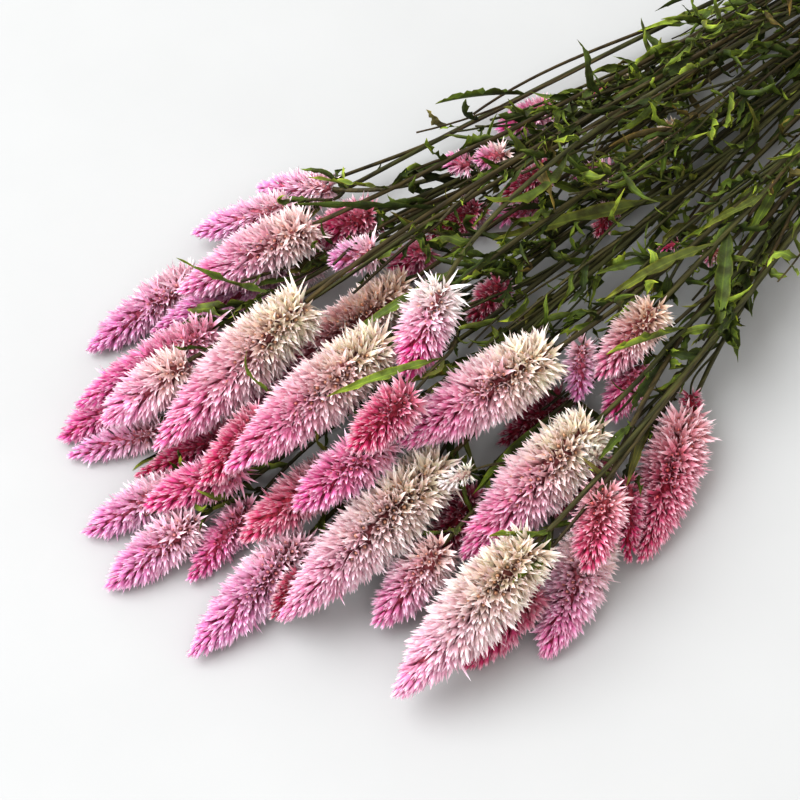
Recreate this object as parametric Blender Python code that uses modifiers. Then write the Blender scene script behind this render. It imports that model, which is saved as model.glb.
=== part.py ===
"""A tied bunch of dried wheat celosia, lying on a flat surface.

The heads point along -X and the cut stem ends along +X. Each flower head is one solid. The stems, side
shoots and leaves are joined in five bundles that lie side by side through the tie.
"""

import math

import bmesh
import bpy
import numpy as np
from mathutils import Matrix, Vector
from mathutils.bvhtree import BVHTree

# Lengths are in metres, apart from the list of heads, which is in millimetres and degrees.
MM = 0.001
SEED = 11

# Room between things that touch
HAIR_GAP = 0.0003
CLEARANCE = 0.0006
STEM_CLEARANCE = 0.0008
CLOSER = 0.0003
OFF_GROUND = 0.0006
LEAF_GAP = 0.0005

# Flower heads
WIDEST_AT = 0.64
FLORET_DEPTH = 0.36
FLORET_LEAN = 0.62
RING_EVERY = 0.0066
HEAD_SEAT = 0.0019
HEAD_FLAT = 0.78
STEEPEST = 0.38
NARROWEST = 0.0012
STUB_RADIUS = 0.0018
STUB_STEP = 0.005
LAY_ROUNDS = 700
LONGEST_LIFT = 0.0015
NUDGE = 0.0002

# Stems and side shoots
STEM_RADIUS = 0.0012
SHOOT_RADIUS = 0.0009
STEM_SIDES = 4
SHOOT_SIDES = 4
STEM_POINTS = 151
SHOOT_POINTS = 31
FORK_ROOM = 12
SHOOT_REACH = 0.07
FORK_REACH = 0.018
ROUTE_SLACK = 0.0006
STRAIGHT_LEAD = 0.004
LEAVE_SHARE = 0.22
ARRIVE_SHARE = 0.25
ARRIVE_RISE = 0.005
NEARBY = 0.04
BEND_ROUNDS = 160
LONGEST_PUSH = 0.002
PUSH_SPREAD = ((1, 0.8), (2, 0.6), (3, 0.4), (4, 0.2))
CUT_LENGTH = 0.082
CUT_UNEVEN = 0.009
CUT_SPREAD = 1.9
CUT_RISE = 1.25

# The tied waist
BUNDLES = 5
COLUMNS = 2
STEM_PITCH = 0.0027
BUNDLE_GAP = 0.0006
CORD_RADIUS = 0.0016
CORD_TURNS = 3
CORD_RIDGE = 0.16
TIE_SEGMENTS = 20
TIE_SQUARENESS = 0.5
WAIST_LENGTH = 0.0066
WAIST_FLOOR = 0.0038
TIE_ROOM = 0.0006
TIE_PRESSED_FLAT = 0.0012

# Leaves
LEAF_THICKNESS = 0.0007
LEAF_ROWS = 4
LEAVES_PER_STEM = 2
LEAF_LENGTH = (0.026, 0.056)
LEAF_WIDTH = (0.0036, 0.0070)
LEAF_CEILING = 0.074
LEAVES_BETWEEN = (12, 115)
LEAF_TRIES = 14
LEAF_OPENING = (12.0, 38.0)
LEAF_CURL = (-75.0, 60.0)
LEAF_TWIST = (-80.0, 80.0)
LONG_LEAF_TWIST = 25.0

# The leaves that show most. A row gives the fan angle and reach of the root, then of the tip, the height
# of the tip and the width of the blade, in degrees and millimetres.
LONG_LEAVES = (
    (-5.6, 290, 0.7, 366, 38, 7.5),
    (10.2, 173, 14.4, 226, 12, 4.5),
    (-4.9, 427, -2.0, 472, 60, 4.5),
    (-0.4, 406, 0.7, 453, 46, 4.0),
    (9.0, 282, 9.8, 330, 14, 4.0),
    (-12.0, 400, -12.4, 423, 38, 3.6),
    (-13.7, 394, -13.8, 419, 24, 3.4),
    (-10.3, 316, -7.3, 363, 38, 5.5),
    (-11.9, 310, -13.9, 349, 30, 7.0),
    (-8.1, 325, -5.7, 354, 40, 4.6),
    (-10.6, 262, -11.8, 301, 30, 5.0),
    (-8.5, 466, -9.7, 482, 48, 5.0),
)

# Colours, linear
TONES = {
    "pale": (0.74, 0.46, 0.47, 1.0),
    "pink": (0.71, 0.22, 0.37, 1.0),
    "dusty": (0.52, 0.25, 0.28, 1.0),
    "rose": (0.58, 0.08, 0.20, 1.0),
    "crimson": (0.26, 0.02, 0.06, 1.0),
}
STEM_COLOUR = (0.075, 0.080, 0.025, 1.0)
CORD_COLOUR = (0.42, 0.32, 0.19, 1.0)

# Every head, laid down layer by layer. Each layer has the height that its stems hold it at. A row gives
# the head's number, what carries it, its tone, the angle at which its foot lies round the tie, the
# distance of its foot from the tie, its own turn from that line, its length and its girth.
LAYERS = (
    (0.000, (
        (8, "shoot", "pink", 7.3, 494, 4, 39, 15),
        (9, "shoot", "pale", 5.3, 501, 21, 36, 11),
        (15, "stem", "pink", 2.5, 513, 12, 37, 14.5),
        (17, "stem", "pink", 0.6, 518, 4, 39, 16.5),
        (19, "stem", "pink", -3.3, 496, -1, 59, 19),
        (37, "stem", "pink", -14.2, 371, -11, 62, 20.5),
        (34, "stem", "pink", -13.4, 432, -8, 52, 20),
        (4, "stem", "pink", 11.6, 452, -7, 52, 16.5),
        (18, "shoot", "rose", -0.3, 499, -11, 36, 12.5),
        (24, "shoot", "crimson", -4.7, 512, -8, 16, 9.5),
        (27, "shoot", "rose", -12.7, 467, 14, 34, 14),
        (33, "shoot", "crimson", -7.3, 442, -10, 31, 15),
        (32, "shoot", "rose", -11.2, 401, 5, 31, 13.5),
        (36, "shoot", "rose", -13.5, 411, -29, 30, 9.5),
        (13, "shoot", "rose", 3.0, 472, 12, 50, 11),
        (31, "shoot", "crimson", -7.4, 385, 12, 32, 11.5),
    )),
    (0.006, (
        (3, "shoot", "pale", 11.9, 406, 27, 40, 13),
        (1, "stem", "pink", 11.7, 388, 54, 33, 12),
        (5, "stem", "dusty", 8.8, 407, 7, 74, 18.5),
        (42, "stem", "rose", 8.1, 384, 13, 29, 16),
        (45, "stem", "crimson", 6.1, 340, 5, 26, 11.5),
        (48, "shoot", "pink", 3.6, 319, 25, 23, 8),
        (56, "shoot", "pink", 6.9, 342, 63, 11, 8.5),
        (52, "stem", "pink", 11.0, 282, 14, 23, 11.5),
    )),
    (0.011, (
        (6, "stem", "pink", 6.9, 466, 4, 59, 16.5),
        (16, "stem", "pink", 0.6, 495, 20, 37, 15.5),
        (7, "stem", "pale", 5.2, 487, 10, 35, 18),
        (14, "shoot", "rose", 0.8, 482, -8, 32, 14),
        (20, "stem", "rose", -2.6, 474, 8, 42, 16.5),
        (25, "stem", "pink", -8.3, 472, 4, 35, 17),
        (35, "stem", "pink", -13.3, 427, -15, 30, 16),
        (11, "stem", "dusty", 3.5, 393, 1, 83, 19),
        (2, "stem", "pale", 8.4, 412, 10, 56, 19.5),
        (26, "stem", "pale", -12.1, 463, 12, 66, 22.5),
        (21, "stem", "pink", -3.9, 458, 6, 43, 18),
        (23, "stem", "pale", -6.0, 448, 2, 84, 23),
        (28, "stem", "pale", -10.9, 407, 11, 66, 23),
        (44, "shoot", "crimson", 4.9, 372, 14, 18, 12.5),
        (46, "shoot", "crimson", -0.5, 368, -4, 18, 11),
    )),
    (0.020, (
        (43, "shoot", "pink", 5.2, 398, 29, 18, 12.5),
        (49, "shoot", "pink", 6.1, 328, 9, 13, 10),
        (50, "shoot", "crimson", 3.7, 316, 11, 23, 10),
        (51, "shoot", "pink", 0.9, 295, 50, 15, 10),
        (59, "shoot", "crimson", -1.8, 313, -18, 13, 8),
        (58, "shoot", "dusty", -10.2, 304, 24, 7, 7),
        (39, "shoot", "pale", -7.4, 376, -31, 23, 10.5),
        (40, "shoot", "pink", -10.6, 369, -1, 20, 12.5),
    )),
    (0.032, (
        (10, "stem", "pale", 3.3, 444, 0, 71, 22),
        (12, "stem", "pale", -0.9, 436, 2, 73, 22),
        (22, "shoot", "rose", -4.2, 449, 4, 28, 16),
        (29, "stem", "pale", -7.2, 397, 18, 65, 22.5),
        (38, "stem", "dusty", -10.1, 354, 8, 32, 16),
    )),
    (0.038, (
        (30, "stem", "pale", -1.6, 410, -20, 33, 18.5),
    )),
)


class Head:
    """One flower head and the stem or shoot that carries it."""

    def __init__(self, layer_height, row):
        number, carrier, tone, fan, reach, turn, length, girth = row
        self.name = "flower_head_%02d" % number
        self.on_stem = carrier == "stem"
        self.tone = tone
        self.fan = math.radians(fan)
        self.radius = 0.5 * girth * MM
        self.layer_height = layer_height
        self.foot_plan = np.array([-math.cos(self.fan), math.sin(self.fan)]) * reach * MM
        heading = math.radians(fan + turn)
        self.tip_plan = self.foot_plan + np.array([-math.cos(heading), math.sin(heading)]) * length * MM
        self.foot = None
        self.tip = None
        self.bundle = None
        self.slot = None
        self.path = None

    def axis(self):
        return (self.foot - self.tip) / np.linalg.norm(self.foot - self.tip)


class Taken:
    """The room that is already filled, as balls strung along everything that has been laid down."""

    def __init__(self):
        self.centres = np.zeros((0, 3))
        self.radii = np.zeros(0)
        self.bundles = np.zeros(0, dtype=int)

    def add(self, centres, radii, bundle):
        self.centres = np.vstack([self.centres, centres])
        self.radii = np.concatenate([self.radii, np.broadcast_to(radii, len(centres))])
        self.bundles = np.concatenate([self.bundles, np.full(len(centres), bundle)])

    def round_about(self, bundle, fork=None):
        """All that a stem has to miss. Stems of its own bundle may lie closer, and its fork may touch."""
        radii = np.where(self.bundles == bundle, self.radii - CLOSER, self.radii)
        if fork is None:
            return self.centres, radii
        kept = (self.bundles != bundle) | (np.linalg.norm(self.centres - fork, axis=1) > FORK_REACH)
        return self.centres[kept], radii[kept]


def swell(t):
    """How full a head is at t, from 0 at the tip to 1 at the foot."""
    if t < WIDEST_AT:
        return math.sin(0.5 * math.pi * t / WIDEST_AT) ** 0.8
    return math.cos(0.44 * math.pi * ((t - WIDEST_AT) / (1.0 - WIDEST_AT)) ** 1.5) ** 0.7


def string_of_balls(foot, tip, radius, with_stub):
    """Balls along a head, and along the first stretch of its stem."""
    stations = list(np.linspace(0.0, 1.0, 23))
    centres = [tip + (foot - tip) * t for t in stations]
    radii = [max(NARROWEST, radius * swell(t)) for t in stations]
    if with_stub:
        back = (foot - tip) / np.linalg.norm(foot - tip)
        for step in range(1, 5):
            stations.append(1.0)
            centres.append(foot + back * STUB_STEP * step)
            radii.append(STUB_RADIUS)
    return np.array(centres), np.array(radii), np.array(stations)


def worst_overlap(centres, radii, taken_centres, taken_radii):
    """The deepest overlap of a string of balls with what is already there, and where it is."""
    if not len(taken_centres):
        return 0.0, 0
    distance = np.linalg.norm(centres[:, None, :] - taken_centres[None, :, :], axis=2)
    overlap = radii[:, None] + taken_radii[None, :] + CLEARANCE - distance
    ball = int(np.argmax(np.max(overlap, axis=1)))
    return float(np.max(overlap[ball])), ball


def lay_down(head, taken):
    """Raises a head's foot and tip from the ground until it lies clear on what is below it."""
    foot_z = head.layer_height + 0.9 * head.radius * HEAD_FLAT
    tip_z = 0.6 * head.layer_height + 0.24 * head.radius
    reach = STEEPEST * float(np.linalg.norm(head.foot_plan - head.tip_plan))
    for _ in range(LAY_ROUNDS):
        foot = np.append(head.foot_plan, foot_z)
        tip = np.append(head.tip_plan, tip_z)
        centres, radii, stations = string_of_balls(foot, tip, head.radius, True)
        least = np.where(radii > 2 * STUB_RADIUS, radii * HEAD_FLAT, radii + OFF_GROUND)
        ball = int(np.argmax(least - centres[:, 2]))
        lift = float((least - centres[:, 2])[ball])
        depth, touching = worst_overlap(centres, radii, taken.centres, taken.radii)
        if depth > max(lift, 0.00001):
            lift = min(depth, LONGEST_LIFT) + NUDGE
            ball = touching
        if lift <= 0.00001:
            break
        share = np.array([1.0 - stations[ball], stations[ball]])
        share = share / (share @ share)
        tip_z += lift * share[0]
        foot_z += lift * share[1]
        tip_z = max(tip_z, foot_z - reach)
        foot_z = max(foot_z, tip_z - reach)
    head.foot = foot
    head.tip = tip


def bezier(a, b, c, d, count):
    s = np.linspace(0.0, 1.0, count)[:, None]
    return a * (1 - s) ** 3 + 3 * b * s * (1 - s) ** 2 + 3 * c * s * s * (1 - s) + d * s ** 3


def bend_clear(path, radius, centres, radii, held_first, held_last):
    """Bends a stem round what is in its way, keeping its ends."""
    path = path.copy()
    free = np.ones((len(path), 1))
    free[:held_first] = 0.0
    free[len(path) - held_last:] = 0.0
    near = np.min(np.linalg.norm(path[:, None, :] - centres[None, :, :], axis=2), axis=0) < NEARBY
    centres = centres[near]
    radii = radii[near]
    if not len(centres):
        return path
    for _ in range(BEND_ROUNDS):
        apart = path[:, None, :] - centres[None, :, :]
        overlap = radius + radii[None, :] + STEM_CLEARANCE - np.linalg.norm(apart, axis=2)
        nearest = np.argmax(overlap, axis=1)
        depth = overlap[np.arange(len(path)), nearest]
        if float(np.max(depth * free[:, 0])) <= 0.0:
            break
        away = apart[np.arange(len(path)), nearest]
        away = away / (np.linalg.norm(away, axis=1)[:, None] + 1e-9)
        push = away * np.clip(depth + NUDGE, 0.0, LONGEST_PUSH)[:, None] * (depth > 0)[:, None]
        shift = push.copy()
        for step, share in PUSH_SPREAD:
            shift[step:] += share * push[:-step]
            shift[:-step] += share * push[step:]
        path += 0.5 * shift * free
        even = path.copy()
        even[1:-1] = 0.5 * path[1:-1] + 0.25 * (path[:-2] + path[2:])
        path += 0.25 * (even - path) * free
        path[:, 2] = np.maximum(path[:, 2], radius + OFF_GROUND)
    return path


def share_out_slots(heads):
    """Gives each long stem its bundle and its place in the tie, in the order in which the stems fan out.

    Returns how wide and how high the stems stand in the tie.
    """
    in_order = sorted((head for head in heads if head.on_stem), key=lambda head: head.fan)
    per_bundle = math.ceil(len(in_order) / BUNDLES)
    rows = math.ceil(per_bundle / COLUMNS)
    bundle_width = COLUMNS * STEM_PITCH
    width = BUNDLES * bundle_width + (BUNDLES - 1) * BUNDLE_GAP
    for count, head in enumerate(in_order):
        head.bundle, place = divmod(count, per_bundle)
        column, row = divmod(place, rows)
        left = -0.5 * width + head.bundle * (bundle_width + BUNDLE_GAP)
        head.slot = np.array([0.0, left + (column + 0.5) * STEM_PITCH, WAIST_FLOOR + (row + 0.5) * STEM_PITCH])
    return width, rows * STEM_PITCH


def route_stem(head, taken):
    """The stem runs from the foot of its head to its place in the tie."""
    back = head.axis()
    span = float(np.linalg.norm(head.slot - head.foot))
    leave = back * np.array([1.0, 1.0, 0.5]) * LEAVE_SHARE * span
    arrive = (head.foot - head.slot) * ARRIVE_SHARE
    arrive[2] = ARRIVE_RISE * span
    start = head.foot + back * HAIR_GAP
    path = bezier(start, head.foot + leave, head.slot + arrive, head.slot, STEM_POINTS)
    centres, radii = taken.round_about(head.bundle)
    if len(centres):
        path = bend_clear(path, STEM_RADIUS, centres, radii, 6, 10)
    return path


def route_shoot(head, stems, taken):
    """A side shoot runs from the foot of its head to the stem that it reaches most easily."""
    back = head.axis()
    ahead = head.foot + back * SHOOT_REACH
    best = None
    for stem in stems:
        away = np.linalg.norm(stem.path - ahead, axis=1) + 0.3 * np.linalg.norm(stem.path - head.foot, axis=1)
        fork = int(np.argmin(away))
        if fork < FORK_ROOM or fork > STEM_POINTS - 2 * FORK_ROOM:
            continue
        join = stem.path[fork]
        along = stem.path[fork] - stem.path[fork - 1]
        along = along / np.linalg.norm(along)
        span = float(np.linalg.norm(join - head.foot))
        path = bezier(head.foot + back * HAIR_GAP, head.foot + back * 0.35 * span,
                      join - along * 0.3 * span, join, SHOOT_POINTS)
        centres, radii = taken.round_about(stem.bundle, join)
        path = bend_clear(path, SHOOT_RADIUS, centres, radii, 3, 1)
        depth, _ = worst_overlap(path[2:], np.full(len(path) - 2, SHOOT_RADIUS), centres, radii)
        score = 30.0 * max(depth, 0.0) + span
        if best is None or score < best[0]:
            best = (score, stem.bundle, path)
    return best[1], best[2]


def new_object(name, mesh, collection):
    thing = bpy.data.objects.new(name, mesh)
    collection.objects.link(thing)
    return thing


def plain_material(name, colour, roughness):
    material = bpy.data.materials.new(name)
    material.use_nodes = True
    shader = material.node_tree.nodes["Principled BSDF"]
    shader.inputs["Base Color"].default_value = colour
    shader.inputs["Roughness"].default_value = roughness
    shader.inputs["Metallic"].default_value = 0.0
    return material


def evaluated_mesh(thing):
    depsgraph = bpy.context.evaluated_depsgraph_get()
    return bpy.data.meshes.new_from_object(thing.evaluated_get(depsgraph), depsgraph=depsgraph)


def head_mesh(head):
    """A spindle whose skin is raised into rows of leaning florets, on a globe's grid of points."""
    length = float(np.linalg.norm(head.foot - head.tip))
    around = 10 if head.radius > 0.0072 else 8 if head.radius > 0.0045 else 6
    rings = max(6, 2 * round(0.5 * (length / RING_EVERY + 2)))
    bm = bmesh.new()
    bmesh.ops.create_uvsphere(bm, u_segments=around, v_segments=rings, radius=1.0)
    along = Vector(head.foot - head.tip)
    side = along.cross(Vector((0.0, 0.0, 1.0))).normalized()
    over = side.cross(along).normalized()
    raised = {}
    for vert in bm.verts:
        ring = round(math.acos(max(-1.0, min(1.0, vert.co.z))) / math.pi * rings)
        turn = math.atan2(vert.co.y, vert.co.x)
        spoke = math.floor(turn / (2.0 * math.pi) * around + 0.25)
        inside = 0 < ring < rings - 1
        raised[vert] = inside and (ring + spoke) % 2 == 0
        t = min(1.0, ring / (rings - 1))
        if ring in (0, rings):
            radius = 0.0
        elif ring == rings - 1:
            radius = HEAD_SEAT
        elif raised[vert]:
            t -= FLORET_LEAN / (rings - 1)
            radius = head.radius * swell(t)
        else:
            radius = head.radius * swell(t) * (1.0 - FLORET_DEPTH)
        spread = side * math.cos(turn) + over * math.sin(turn)
        vert.co = Vector(head.tip) + along * t + spread * radius
        vert.co.z = max(vert.co.z, 0.0)
    for face in list(bm.faces):
        hollow = [vert for vert in face.verts if not raised[vert]]
        peaks = [vert for vert in face.verts if raised[vert]]
        if len(face.verts) == 4 and len(peaks) == 2:
            bmesh.utils.face_split(face, hollow[0], hollow[1])
    bmesh.ops.triangulate(bm, faces=bm.faces)
    bmesh.ops.recalc_face_normals(bm, faces=bm.faces)
    mesh = bpy.data.meshes.new(head.name)
    bm.to_mesh(mesh)
    bm.free()
    return mesh


def tube(name, points, radius, sides, collection):
    """A round stem along a row of points, made a mesh with its end caps welded on."""
    curve = bpy.data.curves.new(name, "CURVE")
    curve.dimensions = "3D"
    curve.bevel_depth = radius
    curve.bevel_resolution = (sides - 4) // 2
    curve.use_fill_caps = True
    spline = curve.splines.new("POLY")
    spline.points.add(len(points) - 1)
    for spot, point in zip(spline.points, points):
        spot.co = (*point, 1.0)
    guide = new_object(name + "_route", curve, collection)
    mesh = evaluated_mesh(guide)
    bm = bmesh.new()
    bm.from_mesh(mesh)
    bmesh.ops.remove_doubles(bm, verts=bm.verts, dist=0.00001)
    bmesh.ops.recalc_face_normals(bm, faces=bm.faces)
    bm.to_mesh(mesh)
    bm.free()
    piece = new_object(name, mesh, collection)
    piece.matrix_world = guide.matrix_world
    bpy.data.objects.remove(guide)
    bpy.data.curves.remove(curve)
    return piece


def thin_out(path, slack):
    """Leaves out the points of a route that lie within the slack of a straight run."""
    if len(path) < 3:
        return [path[0], path[-1]]
    run = path[-1] - path[0]
    along = np.clip((path - path[0]) @ run / (run @ run), 0.0, 1.0)
    away = np.linalg.norm(path - path[0] - along[:, None] * run, axis=1)
    worst = int(np.argmax(away))
    if away[worst] <= slack:
        return [path[0], path[-1]]
    return thin_out(path[:worst + 1], slack)[:-1] + thin_out(path[worst:], slack)


def carrier_points(head):
    """The route without its needless points, leaving the foot of the head squarely."""
    back = head.axis()
    lead = [head.foot + back * HAIR_GAP, head.foot + back * STRAIGHT_LEAD]
    passed = (head.path - head.foot) @ back > STRAIGHT_LEAD + 0.003
    passed[-1] = True
    return lead + thin_out(head.path[passed], ROUTE_SLACK)


def cut_end(head, random):
    """The stretch of a stem from the tie to its cut end."""
    end = head.slot.copy()
    end[0] = CUT_LENGTH + random.uniform(-CUT_UNEVEN, CUT_UNEVEN)
    end[1] *= CUT_SPREAD
    end[2] = STEM_RADIUS + OFF_GROUND + CUT_RISE * (head.slot[2] - WAIST_FLOOR - 0.5 * STEM_PITCH)
    return [head.slot + np.array([0.008, 0.0, 0.0]), end]


def blade(name, centres, sides, width, collection):
    """A thin leaf blade along a row of centre points, widest before its middle and pointed at its end."""
    bm = bmesh.new()
    bmesh.ops.create_grid(bm, x_segments=1, y_segments=LEAF_ROWS, size=0.5)
    for vert in bm.verts:
        row = round((vert.co.y + 0.5) * LEAF_ROWS)
        t = row / LEAF_ROWS
        half = 0.5 * width * max(0.1, math.sin(math.pi * (0.05 + 0.93 * t ** 0.85))) ** 0.8
        vert.co = centres[row] + sides[row] * math.copysign(half, vert.co.x)
    bmesh.ops.triangulate(bm, faces=bm.faces)
    flat = bpy.data.meshes.new(name + "_flat")
    bm.to_mesh(flat)
    bm.free()
    sheet = new_object(name + "_sheet", flat, collection)
    thick = sheet.modifiers.new("blade", "SOLIDIFY")
    thick.thickness = LEAF_THICKNESS
    thick.offset = 0.0
    mesh = evaluated_mesh(sheet)
    bm = bmesh.new()
    bm.from_mesh(mesh)
    bmesh.ops.triangulate(bm, faces=bm.faces)
    bmesh.ops.recalc_face_normals(bm, faces=bm.faces)
    bm.to_mesh(mesh)
    bm.free()
    bpy.data.objects.remove(sheet)
    bpy.data.meshes.remove(flat)
    return new_object(name, mesh, collection)


def curled_blade(name, root, along, up, length, width, curl, twist, collection):
    """A leaf that bends away from its stem and twists a little as it dries."""
    place = root.copy()
    heading = along.normalized()
    normal = (up - heading * up.dot(heading)).normalized()
    across = heading.cross(normal)
    centres = []
    sides = []
    for row in range(LEAF_ROWS + 1):
        lean = Matrix.Rotation(math.radians(twist) * row / LEAF_ROWS, 3, heading)
        centres.append(place.copy())
        sides.append(lean @ across)
        heading = Matrix.Rotation(math.radians(curl) / LEAF_ROWS, 3, across) @ heading
        place = place + heading * length / LEAF_ROWS
    return blade(name, centres, sides, width, collection)


def arched_blade(name, root, tip, rise, width, collection):
    """A leaf that arches from its stem over what lies below it."""
    crest = 0.5 * (root + tip) + Vector((0.0, 0.0, rise))
    centres = []
    sides = []
    for row in range(LEAF_ROWS + 1):
        t = row / LEAF_ROWS
        centres.append(root * (1 - t) ** 2 + crest * 2 * t * (1 - t) + tip * t * t)
        run = (crest - root) * (1 - t) + (tip - crest) * t
        side = run.cross(Vector((0.0, 0.0, 1.0))).normalized()
        turn = math.radians(LONG_LEAF_TWIST * (1.0 - 2.0 * t))
        sides.append(Matrix.Rotation(turn, 3, run.normalized()) @ side)
    return blade(name, centres, sides, width, collection)


def tree_of(thing):
    mesh = thing.data
    points = [thing.matrix_world @ vert.co for vert in mesh.vertices]
    return BVHTree.FromPolygons(points, [tuple(face.vertices) for face in mesh.polygons])


def is_clear(piece, trees):
    """Whether a leaf stays off the ground and clear of every solid that it isn't joined to."""
    own = tree_of(piece)
    heights = [vert.co.z for vert in piece.data.vertices]
    if min(heights) < OFF_GROUND or max(heights) > LEAF_CEILING:
        return False
    for tree in trees:
        if own.overlap(tree):
            return False
        for vert in piece.data.vertices:
            if tree.find_nearest(vert.co, LEAF_GAP)[0] is not None:
                return False
    return True


def leaf_at(name, path, spot, random, trees, collection):
    """Tries a few ways for a leaf to leave its stem, and keeps the first that is clear."""
    root = Vector(path[spot])
    forward = Vector(path[spot - 1] - path[spot + 1]).normalized()
    length = random.uniform(*LEAF_LENGTH)
    width = random.uniform(*LEAF_WIDTH)
    side = forward.cross(Vector((0.0, 0.0, 1.0))).normalized()
    for attempt in range(LEAF_TRIES):
        shrink = 1.0 - 0.035 * attempt
        out = Matrix.Rotation(random.uniform(0.0, 2.0 * math.pi), 3, forward) @ side
        opening = math.radians(random.uniform(*LEAF_OPENING))
        along = forward * math.cos(opening) + out * math.sin(opening)
        curl = random.uniform(*LEAF_CURL)
        twist = random.uniform(*LEAF_TWIST)
        piece = curled_blade(name, root, along, out, length * shrink, width * shrink, curl, twist, collection)
        if is_clear(piece, trees):
            return piece
        bpy.data.objects.remove(piece)
    return None


def fan_point(fan, reach, height):
    """A point given by its angle and distance from the tie, and its height."""
    angle = math.radians(fan)
    return Vector((-math.cos(angle) * reach * MM, math.sin(angle) * reach * MM, height * MM))


def long_leaf_root(row, heads):
    """The highest stem point near the place where a long leaf starts."""
    spot = fan_point(row[0], row[1], 0.0)
    best = None
    for head in heads:
        away = np.hypot(head.path[3:-3, 0] - spot.x, head.path[3:-3, 1] - spot.y)
        score = away * 2.0 - head.path[3:-3, 2]
        place = int(np.argmin(score))
        if best is None or score[place] < best[0]:
            best = (score[place], head.bundle, "stem_of_" + head.name, Vector(head.path[3 + place]))
    return best[1:]


def long_leaf(name, row, root, trees, collection):
    """Lifts a long leaf until it is clear of what it passes over."""
    for lift in range(LEAF_TRIES):
        tip = fan_point(row[2], row[3], row[4] + 1.5 * lift)
        rise = 0.002 + 0.0022 * lift
        piece = arched_blade(name, root, tip, rise, row[5] * MM, collection)
        if is_clear(piece, trees):
            return piece
        bpy.data.objects.remove(piece)
    return None


def join_all(name, first, others, collection):
    """Joins the pieces of one bundle in a single solid."""
    join = first.modifiers.new("join", "BOOLEAN")
    join.operation = "UNION"
    join.operand_type = "COLLECTION"
    join.collection = others
    join.solver = "EXACT"
    mesh = evaluated_mesh(first)
    mesh.name = name
    for piece in list(others.objects):
        bpy.data.objects.remove(piece)
    bpy.data.objects.remove(first)
    bm = bmesh.new()
    bm.from_mesh(mesh)
    bmesh.ops.triangulate(bm, faces=bm.faces)
    bm.to_mesh(mesh)
    bm.free()
    return new_object(name, mesh, collection)


def tie_mesh(width, height):
    """Turns of cord pressed side by side, wound as one ring round the waist of the bunch."""
    bpy.ops.mesh.primitive_torus_add(major_segments=TIE_SEGMENTS, minor_segments=4 * CORD_TURNS,
                                     major_radius=1.0, minor_radius=0.25)
    ring = bpy.context.active_object
    half_wide = 0.5 * width + TIE_ROOM
    half_high = 0.5 * height + TIE_ROOM
    middle = WAIST_FLOOR + 0.5 * height
    band = CORD_TURNS * CORD_RADIUS * 0.9
    for vert in ring.data.vertices:
        turn = math.atan2(vert.co.y, vert.co.x)
        far = math.hypot(vert.co.x, vert.co.y) - 1.0
        slant = math.atan2(vert.co.z, far)
        out = 0.5 * (1.0 + math.cos(slant))
        ridge = 1.0 - CORD_RIDGE * (1.0 - math.cos(2.0 * CORD_TURNS * slant))
        depth = 2.0 * CORD_RADIUS * (out ** 0.5) * ridge + NUDGE
        c = math.copysign(abs(math.cos(turn)) ** TIE_SQUARENESS, math.cos(turn))
        s = math.copysign(abs(math.sin(turn)) ** TIE_SQUARENESS, math.sin(turn))
        corner = 1.0 / max(abs(c), abs(s))
        y = c * corner * half_wide + math.cos(turn) * depth
        z = middle + s * corner * half_high + math.sin(turn) * depth
        vert.co = Vector((band * math.sin(slant), y, z if z > TIE_PRESSED_FLAT else 0.0))
    return ring


# Start from an empty scene
for thing in list(bpy.data.objects):
    bpy.data.objects.remove(thing)

bunch = bpy.data.collections.new("dried_wheat_celosia")
bpy.context.scene.collection.children.link(bunch)
work = bpy.data.collections.new("stems_being_joined")
bpy.context.scene.collection.children.link(work)
rng = np.random.default_rng(SEED)

# Lay the heads down and run their stems and shoots back to the tie
heads = [Head(height, row) for height, rows in LAYERS for row in rows]
waist_width, waist_height = share_out_slots(heads)
taken = Taken()
for head in heads:
    lay_down(head, taken)
    if head.on_stem:
        head.path = route_stem(head, taken)
        taken.add(head.path[1:], STEM_RADIUS, head.bundle)
    centres, radii, _ = string_of_balls(head.foot, head.tip, head.radius, False)
    taken.add(centres, radii, -1)
stems = [head for head in heads if head.on_stem]
for head in heads:
    if not head.on_stem:
        head.bundle, head.path = route_shoot(head, stems, taken)
        taken.add(head.path[1:-1], SHOOT_RADIUS, head.bundle)

# Flower heads
tones = {tone: plain_material("bracts_" + tone, colour, 0.8) for tone, colour in TONES.items()}
solids = []
for head in heads:
    solid = new_object(head.name, head_mesh(head), bunch)
    solid.data.materials.append(tones[head.tone])
    solids.append(solid)
head_trees = [tree_of(solid) for solid in solids]

# Stems, side shoots and leaves, bundle by bundle
stem_material = plain_material("dried_stem_green", STEM_COLOUR, 0.75)
bundle_trees = []
stem_pieces = {number: [] for number in range(BUNDLES)}
for head in heads:
    name = "stem_of_" + head.name
    if head.on_stem:
        piece = tube(name, carrier_points(head) + cut_end(head, rng), STEM_RADIUS, STEM_SIDES, work)
    else:
        piece = tube(name, carrier_points(head), SHOOT_RADIUS, SHOOT_SIDES, work)
    stem_pieces[head.bundle].append(piece)

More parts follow.
